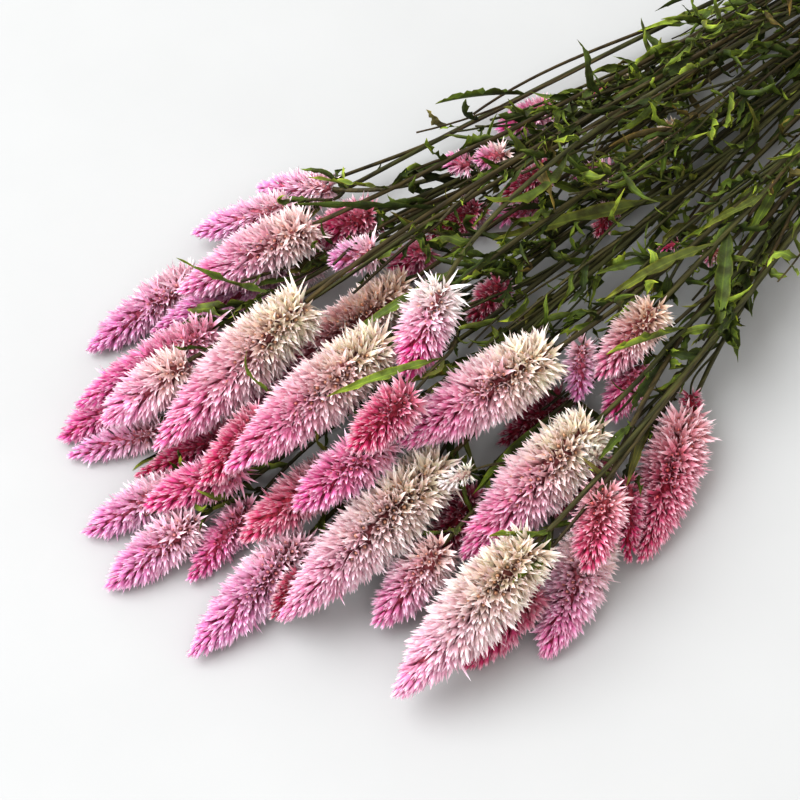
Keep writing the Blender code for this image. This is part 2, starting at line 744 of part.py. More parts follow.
# The waist block joins the stems of a bundle where the tie presses them together
for number in range(BUNDLES):
    members = [head for head in stems if head.bundle == number]
    slots = np.array([head.slot for head in members])
    low = slots.min(axis=0) - 0.5 * STEM_PITCH + 0.00005
    high = slots.max(axis=0) + 0.5 * STEM_PITCH - 0.00005
    bm = bmesh.new()
    bmesh.ops.create_cube(bm, size=1.0)
    size = Vector((WAIST_LENGTH, high[1] - low[1], high[2] - low[2]))
    middle = Vector((0.0, 0.5 * (low[1] + high[1]), 0.5 * (low[2] + high[2])))
    for vert in bm.verts:
        vert.co = Vector((vert.co.x * size.x, vert.co.y * size.y, vert.co.z * size.z)) + middle
    mesh = bpy.data.meshes.new("waist_%d" % number)
    bm.to_mesh(mesh)
    bm.free()
    stem_pieces[number].append(new_object("waist_%d" % number, mesh, work))

# The tie
tie = tie_mesh(waist_width, waist_height)
tie.name = "tie_cord"
tie.data.materials.append(plain_material("cord_fibre", CORD_COLOUR, 0.9))
for owner in list(tie.users_collection):
    owner.objects.unlink(tie)
bunch.objects.link(tie)
solids.append(tie)
tie_tree = tree_of(tie)

# Leaves, and each bundle joined in one solid
roots = [long_leaf_root(row, heads) for row in LONG_LEAVES]
for number in range(BUNDLES):
    trees = head_trees + [tie_tree] + bundle_trees
    for other in range(number + 1, BUNDLES):
        trees += [tree_of(piece) for piece in stem_pieces[other]]
    leaves = []
    own = [(piece.name, tree_of(piece)) for piece in stem_pieces[number]]
    for row, (bundle, carrier, root) in zip(LONG_LEAVES, roots):
        if bundle == number:
            others = [tree for name, tree in own if name != carrier]
            piece = long_leaf("long_leaf_%d" % row[1], row, root, trees + others, work)
            if piece:
                leaves.append(piece)
                own.append((piece.name, tree_of(piece)))
    for head in stems:
        if head.bundle != number:
            continue
        for _ in range(LEAVES_PER_STEM):
            spot = int(rng.integers(*LEAVES_BETWEEN))
            others = [tree for name, tree in own if name != "stem_of_" + head.name]
            piece = leaf_at("leaf_%d" % spot, head.path, spot, rng, trees + others, work)
            if piece:
                leaves.append(piece)
                own.append((piece.name, tree_of(piece)))
    pieces = stem_pieces[number] + leaves
    group = bpy.data.collections.new("bundle_%d_pieces" % number)
    bpy.context.scene.collection.children.link(group)
    for piece in pieces[1:]:
        work.objects.unlink(piece)
        group.objects.link(piece)
    bundle = join_all("stem_bundle_%d" % (number + 1), pieces[0], group, bunch)
    bpy.data.collections.remove(group)
    bundle.data.materials.clear()
    bundle.data.materials.append(stem_material)
    bundle_trees.append(tree_of(bundle))
    solids.append(bundle)
bpy.data.collections.remove(work)

# Stand the origin on the ground under the middle of the bunch
corners = np.array([vert.co[:] for solid in solids for vert in solid.data.vertices])
centre = 0.5 * (corners.min(axis=0) + corners.max(axis=0))
frame = bpy.data.objects.new("bunch_frame", None)
bunch.objects.link(frame)
frame.location = (-centre[0], -centre[1], -corners[:, 2].min())
for solid in solids:
    solid.parent = frame
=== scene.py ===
import math

import bpy
import numpy as np
from mathutils import Matrix, Vector
from mathutils.kdtree import KDTree


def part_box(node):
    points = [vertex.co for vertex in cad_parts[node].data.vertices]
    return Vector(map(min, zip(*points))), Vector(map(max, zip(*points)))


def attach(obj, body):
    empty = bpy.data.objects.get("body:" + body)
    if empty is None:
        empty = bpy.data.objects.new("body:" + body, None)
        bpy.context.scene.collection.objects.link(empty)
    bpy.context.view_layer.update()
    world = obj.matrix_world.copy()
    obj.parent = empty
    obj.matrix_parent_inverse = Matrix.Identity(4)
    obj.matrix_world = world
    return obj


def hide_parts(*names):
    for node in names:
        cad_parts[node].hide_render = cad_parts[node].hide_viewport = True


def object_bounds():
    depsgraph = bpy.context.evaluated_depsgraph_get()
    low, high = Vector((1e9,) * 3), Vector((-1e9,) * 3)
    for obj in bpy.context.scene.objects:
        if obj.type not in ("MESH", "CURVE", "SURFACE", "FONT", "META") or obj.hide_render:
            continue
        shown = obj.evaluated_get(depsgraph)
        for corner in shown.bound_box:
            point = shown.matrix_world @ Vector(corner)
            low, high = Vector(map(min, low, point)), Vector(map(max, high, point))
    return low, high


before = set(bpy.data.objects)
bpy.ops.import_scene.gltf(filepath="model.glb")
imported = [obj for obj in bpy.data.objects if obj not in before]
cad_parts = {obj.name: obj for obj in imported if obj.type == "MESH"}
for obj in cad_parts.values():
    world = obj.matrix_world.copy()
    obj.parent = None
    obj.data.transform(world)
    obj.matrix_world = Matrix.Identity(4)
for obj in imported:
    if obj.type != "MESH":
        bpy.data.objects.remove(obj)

cad_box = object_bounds()

# The bunch as it was laid down. Fifty-three flower spikes lie in layers, the low ones first, each on its
# own stem or on a side shoot of one. Every stem runs back to its place in the tie, clear of the others.
# The lengths are in metres, and the table is in millimetres and degrees.
MM = 0.001
HAIR_GAP = 0.0003
CLEARANCE = 0.0006
STEM_CLEARANCE = 0.0008
CLOSER = 0.0003
OFF_GROUND = 0.0006
WIDEST_AT = 0.64
HEAD_FLAT = 0.78
STEEPEST = 0.38
NARROWEST = 0.0012
STUB_RADIUS = 0.0018
STUB_STEP = 0.005
LAY_ROUNDS = 700
LONGEST_LIFT = 0.0015
NUDGE = 0.0002
STEM_RADIUS = 0.0012
SHOOT_RADIUS = 0.0009
STEM_POINTS = 151
SHOOT_POINTS = 31
FORK_ROOM = 12
SHOOT_REACH = 0.07
FORK_REACH = 0.018
LEAVE_SHARE = 0.22
ARRIVE_SHARE = 0.25
ARRIVE_RISE = 0.005
NEARBY = 0.04
BEND_ROUNDS = 160
LONGEST_PUSH = 0.002
PUSH_SPREAD = ((1, 0.8), (2, 0.6), (3, 0.4), (4, 0.2))
BUNDLES = 5
COLUMNS = 2
STEM_PITCH = 0.0027
BUNDLE_GAP = 0.0006
WAIST_FLOOR = 0.0038

# A row gives the spike's number, what carries it, its tone, the angle at which its foot lies round the
# tie, the distance of its foot from the tie, its own turn from that line, its length and its girth.
LAYERS = (
    (0.000, (
        (8, "shoot", "pink", 7.3, 494, 4, 39, 15),
        (9, "shoot", "pale", 5.3, 501, 21, 36, 11),
        (15, "stem", "pink", 2.5, 513, 12, 37, 14.5),
        (17, "stem", "pink", 0.6, 518, 4, 39, 16.5),
        (19, "stem", "pink", -3.3, 496, -1, 59, 19),
        (37, "stem", "pink", -14.2, 371, -11, 62, 20.5),
        (34, "stem", "pink", -13.4, 432, -8, 52, 20),
        (4, "stem", "pink", 11.6, 452, -7, 52, 16.5),
        (18, "shoot", "rose", -0.3, 499, -11, 36, 12.5),
        (24, "shoot", "crimson", -4.7, 512, -8, 16, 9.5),
        (27, "shoot", "rose", -12.7, 467, 14, 34, 14),
        (33, "shoot", "crimson", -7.3, 442, -10, 31, 15),
        (32, "shoot", "rose", -11.2, 401, 5, 31, 13.5),
        (36, "shoot", "rose", -13.5, 411, -29, 30, 9.5),
        (13, "shoot", "rose", 3.0, 472, 12, 50, 11),
        (31, "shoot", "crimson", -7.4, 385, 12, 32, 11.5),
    )),
    (0.006, (
        (3, "shoot", "pale", 11.9, 406, 27, 40, 13),
        (1, "stem", "pink", 11.7, 388, 54, 33, 12),
        (5, "stem", "dusty", 8.8, 407, 7, 74, 18.5),
        (42, "stem", "rose", 8.1, 384, 13, 29, 16),
        (45, "stem", "crimson", 6.1, 340, 5, 26, 11.5),
        (48, "shoot", "pink", 3.6, 319, 25, 23, 8),
        (56, "shoot", "pink", 6.9, 342, 63, 11, 8.5),
        (52, "stem", "pink", 11.0, 282, 14, 23, 11.5),
    )),
    (0.011, (
        (6, "stem", "pink", 6.9, 466, 4, 59, 16.5),
        (16, "stem", "pink", 0.6, 495, 20, 37, 15.5),
        (7, "stem", "pale", 5.2, 487, 10, 35, 18),
        (14, "shoot", "rose", 0.8, 482, -8, 32, 14),
        (20, "stem", "rose", -2.6, 474, 8, 42, 16.5),
        (25, "stem", "pink", -8.3, 472, 4, 35, 17),
        (35, "stem", "pink", -13.3, 427, -15, 30, 16),
        (11, "stem", "dusty", 3.5, 393, 1, 83, 19),
        (2, "stem", "pale", 8.4, 412, 10, 56, 19.5),
        (26, "stem", "pale", -12.1, 463, 12, 66, 22.5),
        (21, "stem", "pink", -3.9, 458, 6, 43, 18),
        (23, "stem", "pale", -6.0, 448, 2, 84, 23),
        (28, "stem", "pale", -10.9, 407, 11, 66, 23),
        (44, "shoot", "crimson", 4.9, 372, 14, 18, 12.5),
        (46, "shoot", "crimson", -0.5, 368, -4, 18, 11),
    )),
    (0.020, (
        (43, "shoot", "pink", 5.2, 398, 29, 18, 12.5),
        (49, "shoot", "pink", 6.1, 328, 9, 13, 10),
        (50, "shoot", "crimson", 3.7, 316, 11, 23, 10),
        (51, "shoot", "pink", 0.9, 295, 50, 15, 10),
        (59, "shoot", "crimson", -1.8, 313, -18, 13, 8),
        (58, "shoot", "dusty", -10.2, 304, 24, 7, 7),
        (39, "shoot", "pale", -7.4, 376, -31, 23, 10.5),
        (40, "shoot", "pink", -10.6, 369, -1, 20, 12.5),
    )),
    (0.032, (
        (10, "stem", "pale", 3.3, 444, 0, 71, 22),
        (12, "stem", "pale", -0.9, 436, 2, 73, 22),
        (22, "shoot", "rose", -4.2, 449, 4, 28, 16),
        (29, "stem", "pale", -7.2, 397, 18, 65, 22.5),
        (38, "stem", "dusty", -10.1, 354, 8, 32, 16),
    )),
    (0.038, (
        (30, "stem", "pale", -1.6, 410, -20, 33, 18.5),
    )),
)


class Head:
    """One flower head and the stem or shoot that carries it."""

    def __init__(self, layer_height, row):
        number, carrier, tone, fan, reach, turn, length, girth = row
        self.name = "flower_head_%02d" % number
        self.on_stem = carrier == "stem"
        self.tone = tone
        self.fan = math.radians(fan)
        self.radius = 0.5 * girth * MM
        self.layer_height = layer_height
        self.foot_plan = np.array([-math.cos(self.fan), math.sin(self.fan)]) * reach * MM
        heading = math.radians(fan + turn)
        self.tip_plan = self.foot_plan + np.array([-math.cos(heading), math.sin(heading)]) * length * MM
        self.foot = None
        self.tip = None
        self.bundle = None
        self.slot = None
        self.path = None

    def axis(self):
        return (self.foot - self.tip) / np.linalg.norm(self.foot - self.tip)


class Taken:
    """The room that is already filled, as balls strung along everything that has been laid down."""

    def __init__(self):
        self.centres = np.zeros((0, 3))
        self.radii = np.zeros(0)
        self.bundles = np.zeros(0, dtype=int)

    def add(self, centres, radii, bundle):
        self.centres = np.vstack([self.centres, centres])
        self.radii = np.concatenate([self.radii, np.broadcast_to(radii, len(centres))])
        self.bundles = np.concatenate([self.bundles, np.full(len(centres), bundle)])

    def round_about(self, bundle, fork=None):
        """All that a stem has to miss. Stems of its own bundle may lie closer, and its fork may touch."""
        radii = np.where(self.bundles == bundle, self.radii - CLOSER, self.radii)
        if fork is None:
            return self.centres, radii
        kept = (self.bundles != bundle) | (np.linalg.norm(self.centres - fork, axis=1) > FORK_REACH)
        return self.centres[kept], radii[kept]


def swell(t):
    """How full a head is at t, from 0 at the tip to 1 at the foot."""
    if t < WIDEST_AT:
        return math.sin(0.5 * math.pi * t / WIDEST_AT) ** 0.8
    return math.cos(0.44 * math.pi * ((t - WIDEST_AT) / (1.0 - WIDEST_AT)) ** 1.5) ** 0.7


def string_of_balls(foot, tip, radius, with_stub):
    """Balls along a head, and along the first stretch of its stem."""
    stations = list(np.linspace(0.0, 1.0, 23))
    centres = [tip + (foot - tip) * t for t in stations]
    radii = [max(NARROWEST, radius * swell(t)) for t in stations]
    if with_stub:
        back = (foot - tip) / np.linalg.norm(foot - tip)
        for step in range(1, 5):
            stations.append(1.0)
            centres.append(foot + back * STUB_STEP * step)
            radii.append(STUB_RADIUS)
    return np.array(centres), np.array(radii), np.array(stations)


def worst_overlap(centres, radii, taken_centres, taken_radii):
    """The deepest overlap of a string of balls with what is already there, and where it is."""
    if not len(taken_centres):
        return 0.0, 0
    distance = np.linalg.norm(centres[:, None, :] - taken_centres[None, :, :], axis=2)
    overlap = radii[:, None] + taken_radii[None, :] + CLEARANCE - distance
    ball = int(np.argmax(np.max(overlap, axis=1)))
    return float(np.max(overlap[ball])), ball


def lay_down(head, taken):
    """Raises a head's foot and tip from the ground until it lies clear on what is below it."""
    foot_z = head.layer_height + 0.9 * head.radius * HEAD_FLAT
    tip_z = 0.6 * head.layer_height + 0.24 * head.radius
    reach = STEEPEST * float(np.linalg.norm(head.foot_plan - head.tip_plan))
    for _ in range(LAY_ROUNDS):
        foot = np.append(head.foot_plan, foot_z)
        tip = np.append(head.tip_plan, tip_z)
        centres, radii, stations = string_of_balls(foot, tip, head.radius, True)
        least = np.where(radii > 2 * STUB_RADIUS, radii * HEAD_FLAT, radii + OFF_GROUND)
        ball = int(np.argmax(least - centres[:, 2]))
        lift = float((least - centres[:, 2])[ball])
        depth, touching = worst_overlap(centres, radii, taken.centres, taken.radii)
        if depth > max(lift, 0.00001):
            lift = min(depth, LONGEST_LIFT) + NUDGE
            ball = touching
        if lift <= 0.00001:
            break
        share = np.array([1.0 - stations[ball], stations[ball]])
        share = share / (share @ share)
        tip_z += lift * share[0]
        foot_z += lift * share[1]
        tip_z = max(tip_z, foot_z - reach)
        foot_z = max(foot_z, tip_z - reach)
    head.foot = foot
    head.tip = tip


def bezier(a, b, c, d, count):
    s = np.linspace(0.0, 1.0, count)[:, None]
    return a * (1 - s) ** 3 + 3 * b * s * (1 - s) ** 2 + 3 * c * s * s * (1 - s) + d * s ** 3


def bend_clear(path, radius, centres, radii, held_first, held_last):
    """Bends a stem round what is in its way, keeping its ends."""
    path = path.copy()
    free = np.ones((len(path), 1))
    free[:held_first] = 0.0
    free[len(path) - held_last:] = 0.0
    near = np.min(np.linalg.norm(path[:, None, :] - centres[None, :, :], axis=2), axis=0) < NEARBY
    centres = centres[near]
    radii = radii[near]
    if not len(centres):
        return path
    for _ in range(BEND_ROUNDS):
        apart = path[:, None, :] - centres[None, :, :]
        overlap = radius + radii[None, :] + STEM_CLEARANCE - np.linalg.norm(apart, axis=2)
        nearest = np.argmax(overlap, axis=1)
        depth = overlap[np.arange(len(path)), nearest]
        if float(np.max(depth * free[:, 0])) <= 0.0:
            break
        away = apart[np.arange(len(path)), nearest]
        away = away / (np.linalg.norm(away, axis=1)[:, None] + 1e-9)
        push = away * np.clip(depth + NUDGE, 0.0, LONGEST_PUSH)[:, None] * (depth > 0)[:, None]
        shift = push.copy()
        for step, share in PUSH_SPREAD:
            shift[step:] += share * push[:-step]
            shift[:-step] += share * push[step:]
        path += 0.5 * shift * free
        even = path.copy()
        even[1:-1] = 0.5 * path[1:-1] + 0.25 * (path[:-2] + path[2:])
        path += 0.25 * (even - path) * free
        path[:, 2] = np.maximum(path[:, 2], radius + OFF_GROUND)
    return path


def share_out_slots(heads):
    """Gives each long stem its bundle and its place in the tie, in the order in which the stems fan out.

    Returns how wide and how high the stems stand in the tie.
    """
    in_order = sorted((head for head in heads if head.on_stem), key=lambda head: head.fan)
    per_bundle = math.ceil(len(in_order) / BUNDLES)
    rows = math.ceil(per_bundle / COLUMNS)
    bundle_width = COLUMNS * STEM_PITCH
    width = BUNDLES * bundle_width + (BUNDLES - 1) * BUNDLE_GAP
    for count, head in enumerate(in_order):
        head.bundle, place = divmod(count, per_bundle)
        column, row = divmod(place, rows)
        left = -0.5 * width + head.bundle * (bundle_width + BUNDLE_GAP)
        across = left + (column + 0.5) * STEM_PITCH
        head.slot = np.array([0.0, across, WAIST_FLOOR + (row + 0.5) * STEM_PITCH])
    return width, rows * STEM_PITCH


def route_stem(head, taken):
    """The stem runs from the foot of its head to its place in the tie."""
    back = head.axis()
    span = float(np.linalg.norm(head.slot - head.foot))
    leave = back * np.array([1.0, 1.0, 0.5]) * LEAVE_SHARE * span
    arrive = (head.foot - head.slot) * ARRIVE_SHARE
    arrive[2] = ARRIVE_RISE * span
    start = head.foot + back * HAIR_GAP
    path = bezier(start, head.foot + leave, head.slot + arrive, head.slot, STEM_POINTS)
    centres, radii = taken.round_about(head.bundle)
    if len(centres):
        path = bend_clear(path, STEM_RADIUS, centres, radii, 6, 10)
    return path


def route_shoot(head, stems, taken):
    """A side shoot runs from the foot of its head to the stem that it reaches most easily."""
    back = head.axis()
    ahead = head.foot + back * SHOOT_REACH
    best = None
    for stem in stems:
        away = np.linalg.norm(stem.path - ahead, axis=1) + 0.3 * np.linalg.norm(stem.path - head.foot, axis=1)
        fork = int(np.argmin(away))
        if fork < FORK_ROOM or fork > STEM_POINTS - 2 * FORK_ROOM:
            continue
        join = stem.path[fork]
        along = stem.path[fork] - stem.path[fork - 1]
        along = along / np.linalg.norm(along)
        span = float(np.linalg.norm(join - head.foot))
        path = bezier(head.foot + back * HAIR_GAP, head.foot + back * 0.35 * span,
                      join - along * 0.3 * span, join, SHOOT_POINTS)
        centres, radii = taken.round_about(stem.bundle, join)
        path = bend_clear(path, SHOOT_RADIUS, centres, radii, 3, 1)
        depth, _ = worst_overlap(path[2:], np.full(len(path) - 2, SHOOT_RADIUS), centres, radii)
        score = 30.0 * max(depth, 0.0) + span
        if best is None or score < best[0]:
            best = (score, stem.bundle, path)
    return best[1], best[2]


heads = [Head(height, row) for height, rows in LAYERS for row in rows]
waist_width, waist_height = share_out_slots(heads)
taken = Taken()
for head in heads:
    lay_down(head, taken)
    if head.on_stem:
        head.path = route_stem(head, taken)
        taken.add(head.path[1:], STEM_RADIUS, head.bundle)
    centres, radii, _ = string_of_balls(head.foot, head.tip, head.radius, False)
    taken.add(centres, radii, -1)
stems = [head for head in heads if head.on_stem]
for head in heads:
    if not head.on_stem:
        head.bundle, head.path = route_shoot(head, stems, taken)
        taken.add(head.path[1:-1], SHOOT_RADIUS, head.bundle)
tie_low, tie_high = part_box("tie_cord")
tie_place = np.array([0.5 * (tie_low.x + tie_high.x), 0.5 * (tie_low.y + tie_high.y), 0.0])

# Stems and side shoots. Dry celosia stems are woody, ribbed and a little bent, dull olive with brown
# streaks, about 2.5 mm thick at the tie and thinner under the flowers. They were cut square with shears,
# so their ends show pale pith.
SEED = 11
CUT_LENGTH = 0.082
CUT_UNEVEN = 0.009
CUT_SPREAD = 1.9
CUT_RISE = 1.25
PAST_TIE = 0.008
CUT_POINTS = 10
BARK_SHARE = 1.08
STEM_RIBS = 5
SHOOT_RIBS = 4
RIB_DEPTH = 0.14
THIN_END = 0.72
PITH = (0.55, 0.47, 0.30, 1.0)


def noise_node(tree, scale, detail, stretch=None):
    """Noise laid on the object's own place, drawn out along the bunch where a stretch is given."""
    place = tree.nodes.new("ShaderNodeTexCoord")
    noise = tree.nodes.new("ShaderNodeTexNoise")
    noise.inputs["Scale"].default_value = scale
    noise.inputs["Detail"].default_value = detail
    source = place.outputs["Object"]
    if stretch:
        mapping = tree.nodes.new("ShaderNodeMapping")
        mapping.inputs["Scale"].default_value = stretch
        tree.links.new(source, mapping.inputs["Vector"])
        source = mapping.outputs["Vector"]
    tree.links.new(source, noise.inputs["Vector"])
    return noise.outputs["Fac"]


def ramp_node(tree, source, stops):
    ramp = tree.nodes.new("ShaderNodeValToRGB")
    while len(ramp.color_ramp.elements) < len(stops):
        ramp.color_ramp.elements.new(0.5)
    for element, (spot, colour) in zip(ramp.color_ramp.elements, stops):
        element.position = spot
        element.color = colour
    tree.links.new(source, ramp.inputs["Fac"])
    return ramp.outputs["Color"]


def mix_node(tree, kind, amount, first, second):
    """Mixes two colours. The amount, and either colour, may be a fixed value or another node's output."""
    mix = tree.nodes.new("ShaderNodeMix")
    mix.data_type = "RGBA"
    mix.blend_type = kind
    for socket, value in ((mix.inputs[0], amount), (mix.inputs[6], first), (mix.inputs[7], second)):
        if isinstance(value, bpy.types.NodeSocket):
            tree.links.new(value, socket)
        else:
            socket.default_value = value
    return mix.outputs[2]


def bump_node(tree, source, strength, distance):
    bump = tree.nodes.new("ShaderNodeBump")
    bump.inputs["Strength"].default_value = strength
    bump.inputs["Distance"].default_value = distance
    tree.links.new(source, bump.inputs["Height"])
    return bump.outputs["Normal"]


def grown_material(name, roughness, specular):
    """A material whose colour follows the growth map: along the piece, and across or among its parts."""
    material = bpy.data.materials.new(name)
    material.use_nodes = True
    tree = material.node_tree
    shader = tree.nodes["Principled BSDF"]
    shader.inputs["Roughness"].default_value = roughness
    shader.inputs["Specular IOR Level"].default_value = specular
    grown = tree.nodes.new("ShaderNodeUVMap")
    grown.uv_map = "growth"
    parts = tree.nodes.new("ShaderNodeSeparateXYZ")
    tree.links.new(grown.outputs["UV"], parts.inputs["Vector"])
    return material, tree, shader, parts.outputs["X"], parts.outputs["Y"]


def new_piece(name, points, faces, growth, materials, face_materials=None):
    """A mesh object from points, faces and the growth values of each point: along, tone and breadth."""
    mesh = bpy.data.meshes.new(name)
    mesh.from_pydata(np.asarray(points).tolist(), [], faces)
    corners = np.zeros(len(mesh.loops), dtype=np.int32)
    mesh.loops.foreach_get("vertex_index", corners)
    values = np.asarray(growth, dtype=np.float32)[corners]
    mesh.uv_layers.new(name="growth").data.foreach_set("uv", values[:, :2].ravel())
    if values.shape[1] > 2:
        mesh.uv_layers.new(name="breadth").data.foreach_set("uv", np.repeat(values[:, 2], 2))
    for material in materials:
        mesh.materials.append(material)
    if face_materials is not None:
        mesh.polygons.foreach_set("material_index", np.asarray(face_materials, dtype=np.int32))
    mesh.polygons.foreach_set("use_smooth", np.ones(len(mesh.polygons), dtype=bool))
    mesh.update()
    piece = bpy.data.objects.new(name, mesh)
    bpy.context.scene.collection.objects.link(piece)
    return piece


class Shape:
    """Points, faces and growth values, gathered from many small parts."""

    def __init__(self):
        self.points = []
        self.faces = []
        self.growth = []
        self.looks = []
        self.count = 0

    def add(self, points, faces, growth, look=0):
        self.points.append(np.asarray(points))
        self.faces.extend([tuple(corner + self.count for corner in face) for face in faces])
        self.growth.append(np.asarray(growth))
        self.looks.extend([look] * len(faces))
        self.count += len(points)

    def piece(self, name, materials):
        points, growth = np.vstack(self.points), np.vstack(self.growth)
        return new_piece(name, points, self.faces, growth, materials, self.looks)


def frames_along(points):
    """Two directions square to a line at each of its points, turning as little as they can."""
    runs = np.gradient(points, axis=0)
    runs /= np.linalg.norm(runs, axis=1)[:, None]
    side = np.cross(runs[0], (0.0, 0.0, 1.0))
    sides = []
    for run in runs:
        side = side - run * (side @ run)
        side = side / np.linalg.norm(side)
        sides.append(side)
    sides = np.array(sides)
    return sides, np.cross(sides, runs)


def ribbed_stem(points, radii, ribs, depth, tone):
    """The skin of a ribbed stem with its two ends closed."""
    around = 2 * ribs
    sides, overs = frames_along(points)
    turns = np.linspace(0.0, 2.0 * math.pi, around, endpoint=False)
    ridge = 1.0 - depth * (np.arange(around) % 2)
    ring = np.cos(turns)[None, :, None] * sides[:, None, :]
    ring = ring + np.sin(turns)[None, :, None] * overs[:, None, :]
    skin = points[:, None, :] + ring * (radii[:, None] * ridge[None, :])[:, :, None]
    rows = len(points)
    faces = []
    for row in range(rows - 1):
        for step in range(around):
            a = row * around + step
            b = row * around + (step + 1) % around
            faces.append((a, b, b + around, a + around))
    growth = np.zeros((rows, around, 2))
    growth[:, :, 0] = np.linspace(0.0, 1.0, rows)[:, None]
    growth[:, :, 1] = tone
    caps = [tuple(range(around))[::-1], tuple(range((rows - 1) * around, rows * around))]
    return skin.reshape(-1, 3), faces, growth.reshape(-1, 2), caps


def stem_line(head, random):
    """The middle line of a stem from the foot of its spike past the tie to its cut end."""
    end = head.slot.copy()
    end[0] = CUT_LENGTH + random.uniform(-CUT_UNEVEN, CUT_UNEVEN)
    end[1] *= CUT_SPREAD
    end[2] = STEM_RADIUS + OFF_GROUND + CUT_RISE * (head.slot[2] - WAIST_FLOOR - 0.5 * STEM_PITCH)
    onward = head.slot + np.array([PAST_TIE, 0.0, 0.0])
    steps = np.linspace(0.0, 1.0, CUT_POINTS)[:, None]
    return np.vstack([head.path[::2], onward + (end - onward) * steps])


stem_bark, tree, shader, along, tone = grown_material("dried_stem_bark", 0.62, 0.35)
streaks = noise_node(tree, 900.0, 5.0, (0.06, 1.0, 1.0))
olive = ramp_node(tree, tone, [(0.0, (0.048, 0.062, 0.015, 1.0)), (0.45, (0.072, 0.070, 0.022, 1.0)),
                               (0.75, (0.070, 0.043, 0.017, 1.0)), (1.0, (0.034, 0.040, 0.012, 1.0))])
flower_end = ramp_node(tree, along, [(0.0, (0.12, 0.10, 0.035, 1.0)), (0.12, (0.060, 0.062, 0.019, 1.0)),
                                     (1.0, (0.050, 0.042, 0.018, 1.0))])
bark = mix_node(tree, "MIX", 0.4, olive, flower_end)
streak = ramp_node(tree, streaks, [(0.35, (0.35, 0.31, 0.25, 1.0)), (0.68, (1.25, 1.15, 0.95, 1.0))])
tree.links.new(mix_node(tree, "MULTIPLY", 1.0, bark, streak), shader.inputs["Base Color"])
tree.links.new(bump_node(tree, streaks, 0.5, 0.0004), shader.inputs["Normal"])
cut_pith, tree, shader, along, tone = grown_material("cut_stem_pith", 0.9, 0.2)
grain = noise_node(tree, 2500.0, 3.0)
pith_colour = ramp_node(tree, grain, [(0.3, (0.35, 0.28, 0.16, 1.0)), (0.7, PITH)])
tree.links.new(pith_colour, shader.inputs["Base Color"])
tree.links.new(bump_node(tree, grain, 0.6, 0.0003), shader.inputs["Normal"])

layout_draws = np.random.default_rng(SEED)
tone_draws = np.random.default_rng(SEED + 1)
bundle_shapes = [Shape() for _ in range(BUNDLES)]
for head in heads:
    shape = bundle_shapes[head.bundle]
    if head.on_stem:
        line = stem_line(head, layout_draws)
        full_from = len(line) - CUT_POINTS - 2
        radii = np.interp(np.arange(len(line)), (0, full_from, len(line)), (THIN_END, 1, 1))
        radii = radii * STEM_RADIUS * BARK_SHARE
        line = line + tie_place
        skin, faces, growth, _ = ribbed_stem(line, radii, STEM_RIBS, RIB_DEPTH, tone_draws.random())
        shape.add(skin, faces, growth)
        rim = 2 * STEM_RIBS
        shape.add(skin[-rim:], [tuple(range(rim))], growth[-rim:], 1)
    else:
        line = head.path + tie_place
        radii = SHOOT_RADIUS * np.linspace(THIN_END, 1.0, len(line))
        skin, faces, growth, _ = ribbed_stem(line, radii, SHOOT_RIBS, RIB_DEPTH, tone_draws.random())
        shape.add(skin, faces, growth)

# Thin side twigs. They fork from the stems, dry and brittle and 1 to 2 mm thick, run along them for 4 to
# 15 cm and carry the smaller leaves. Starts and runs are counted in points of the stem's line.
TWIGS = 150
TWIG_RADIUS = 0.0008
TWIG_THICKNESS = (0.7, 1.35)
TWIG_TAPER = 0.62
TWIG_RIBS = 3
TWIG_STARTS = (38, 118)
TWIG_RUNS = (22, 44)
TWIG_SPREAD = 0.011
TWIG_STRAY = 0.25
TWIG_EASE = 0.35
TWIG_POINTS = 19


def twig_line(start, way_out, end, way_in):
    """The middle line of a twig that leaves along one way and arrives along another."""
    ease = TWIG_EASE * np.linalg.norm(end - start)
    line = bezier(start, start + way_out * ease, end - way_in * ease, end, TWIG_POINTS)
    line[:, 2] = np.maximum(line[:, 2], 2.0 * TWIG_RADIUS)
    return line


def add_twig(shape, line, random):
    radii = TWIG_RADIUS * random.uniform(*TWIG_THICKNESS) * np.linspace(1.0, TWIG_TAPER, len(line))
    skin, faces, growth, caps = ribbed_stem(line + tie_place, radii, TWIG_RIBS, RIB_DEPTH, random.random())
    shape.add(skin, faces + caps, growth)


def unit(rows):
    return rows / (np.linalg.norm(rows, axis=-1, keepdims=True) + 1e-12)


twig_draws = np.random.default_rng(SEED + 3)
twigs = []
for _ in range(TWIGS):
    head = stems[int(twig_draws.integers(len(stems)))]
    start = int(twig_draws.integers(*TWIG_STARTS))
    last = max(start - int(twig_draws.integers(*TWIG_RUNS)), 0)
    aside = twig_draws.uniform(-TWIG_SPREAD, TWIG_SPREAD, 2)
    end = head.path[last] + np.array([0.0, aside[0], aside[1]])
    forward = unit(head.path[start - 3] - head.path[start + 3])
    stray = twig_draws.normal(0.0, TWIG_STRAY, 3)
    line = twig_line(head.path[start], forward, end, unit(forward + stray))
    add_twig(bundle_shapes[head.bundle], line, tone_draws)
    twigs.append((head.bundle, line))
for number, shape in enumerate(bundle_shapes):
    piece = shape.piece("stems_of_bundle_%d" % (number + 1), [stem_bark, cut_pith])
    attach(piece, "root")
    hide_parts("stem_bundle_%d" % (number + 1))

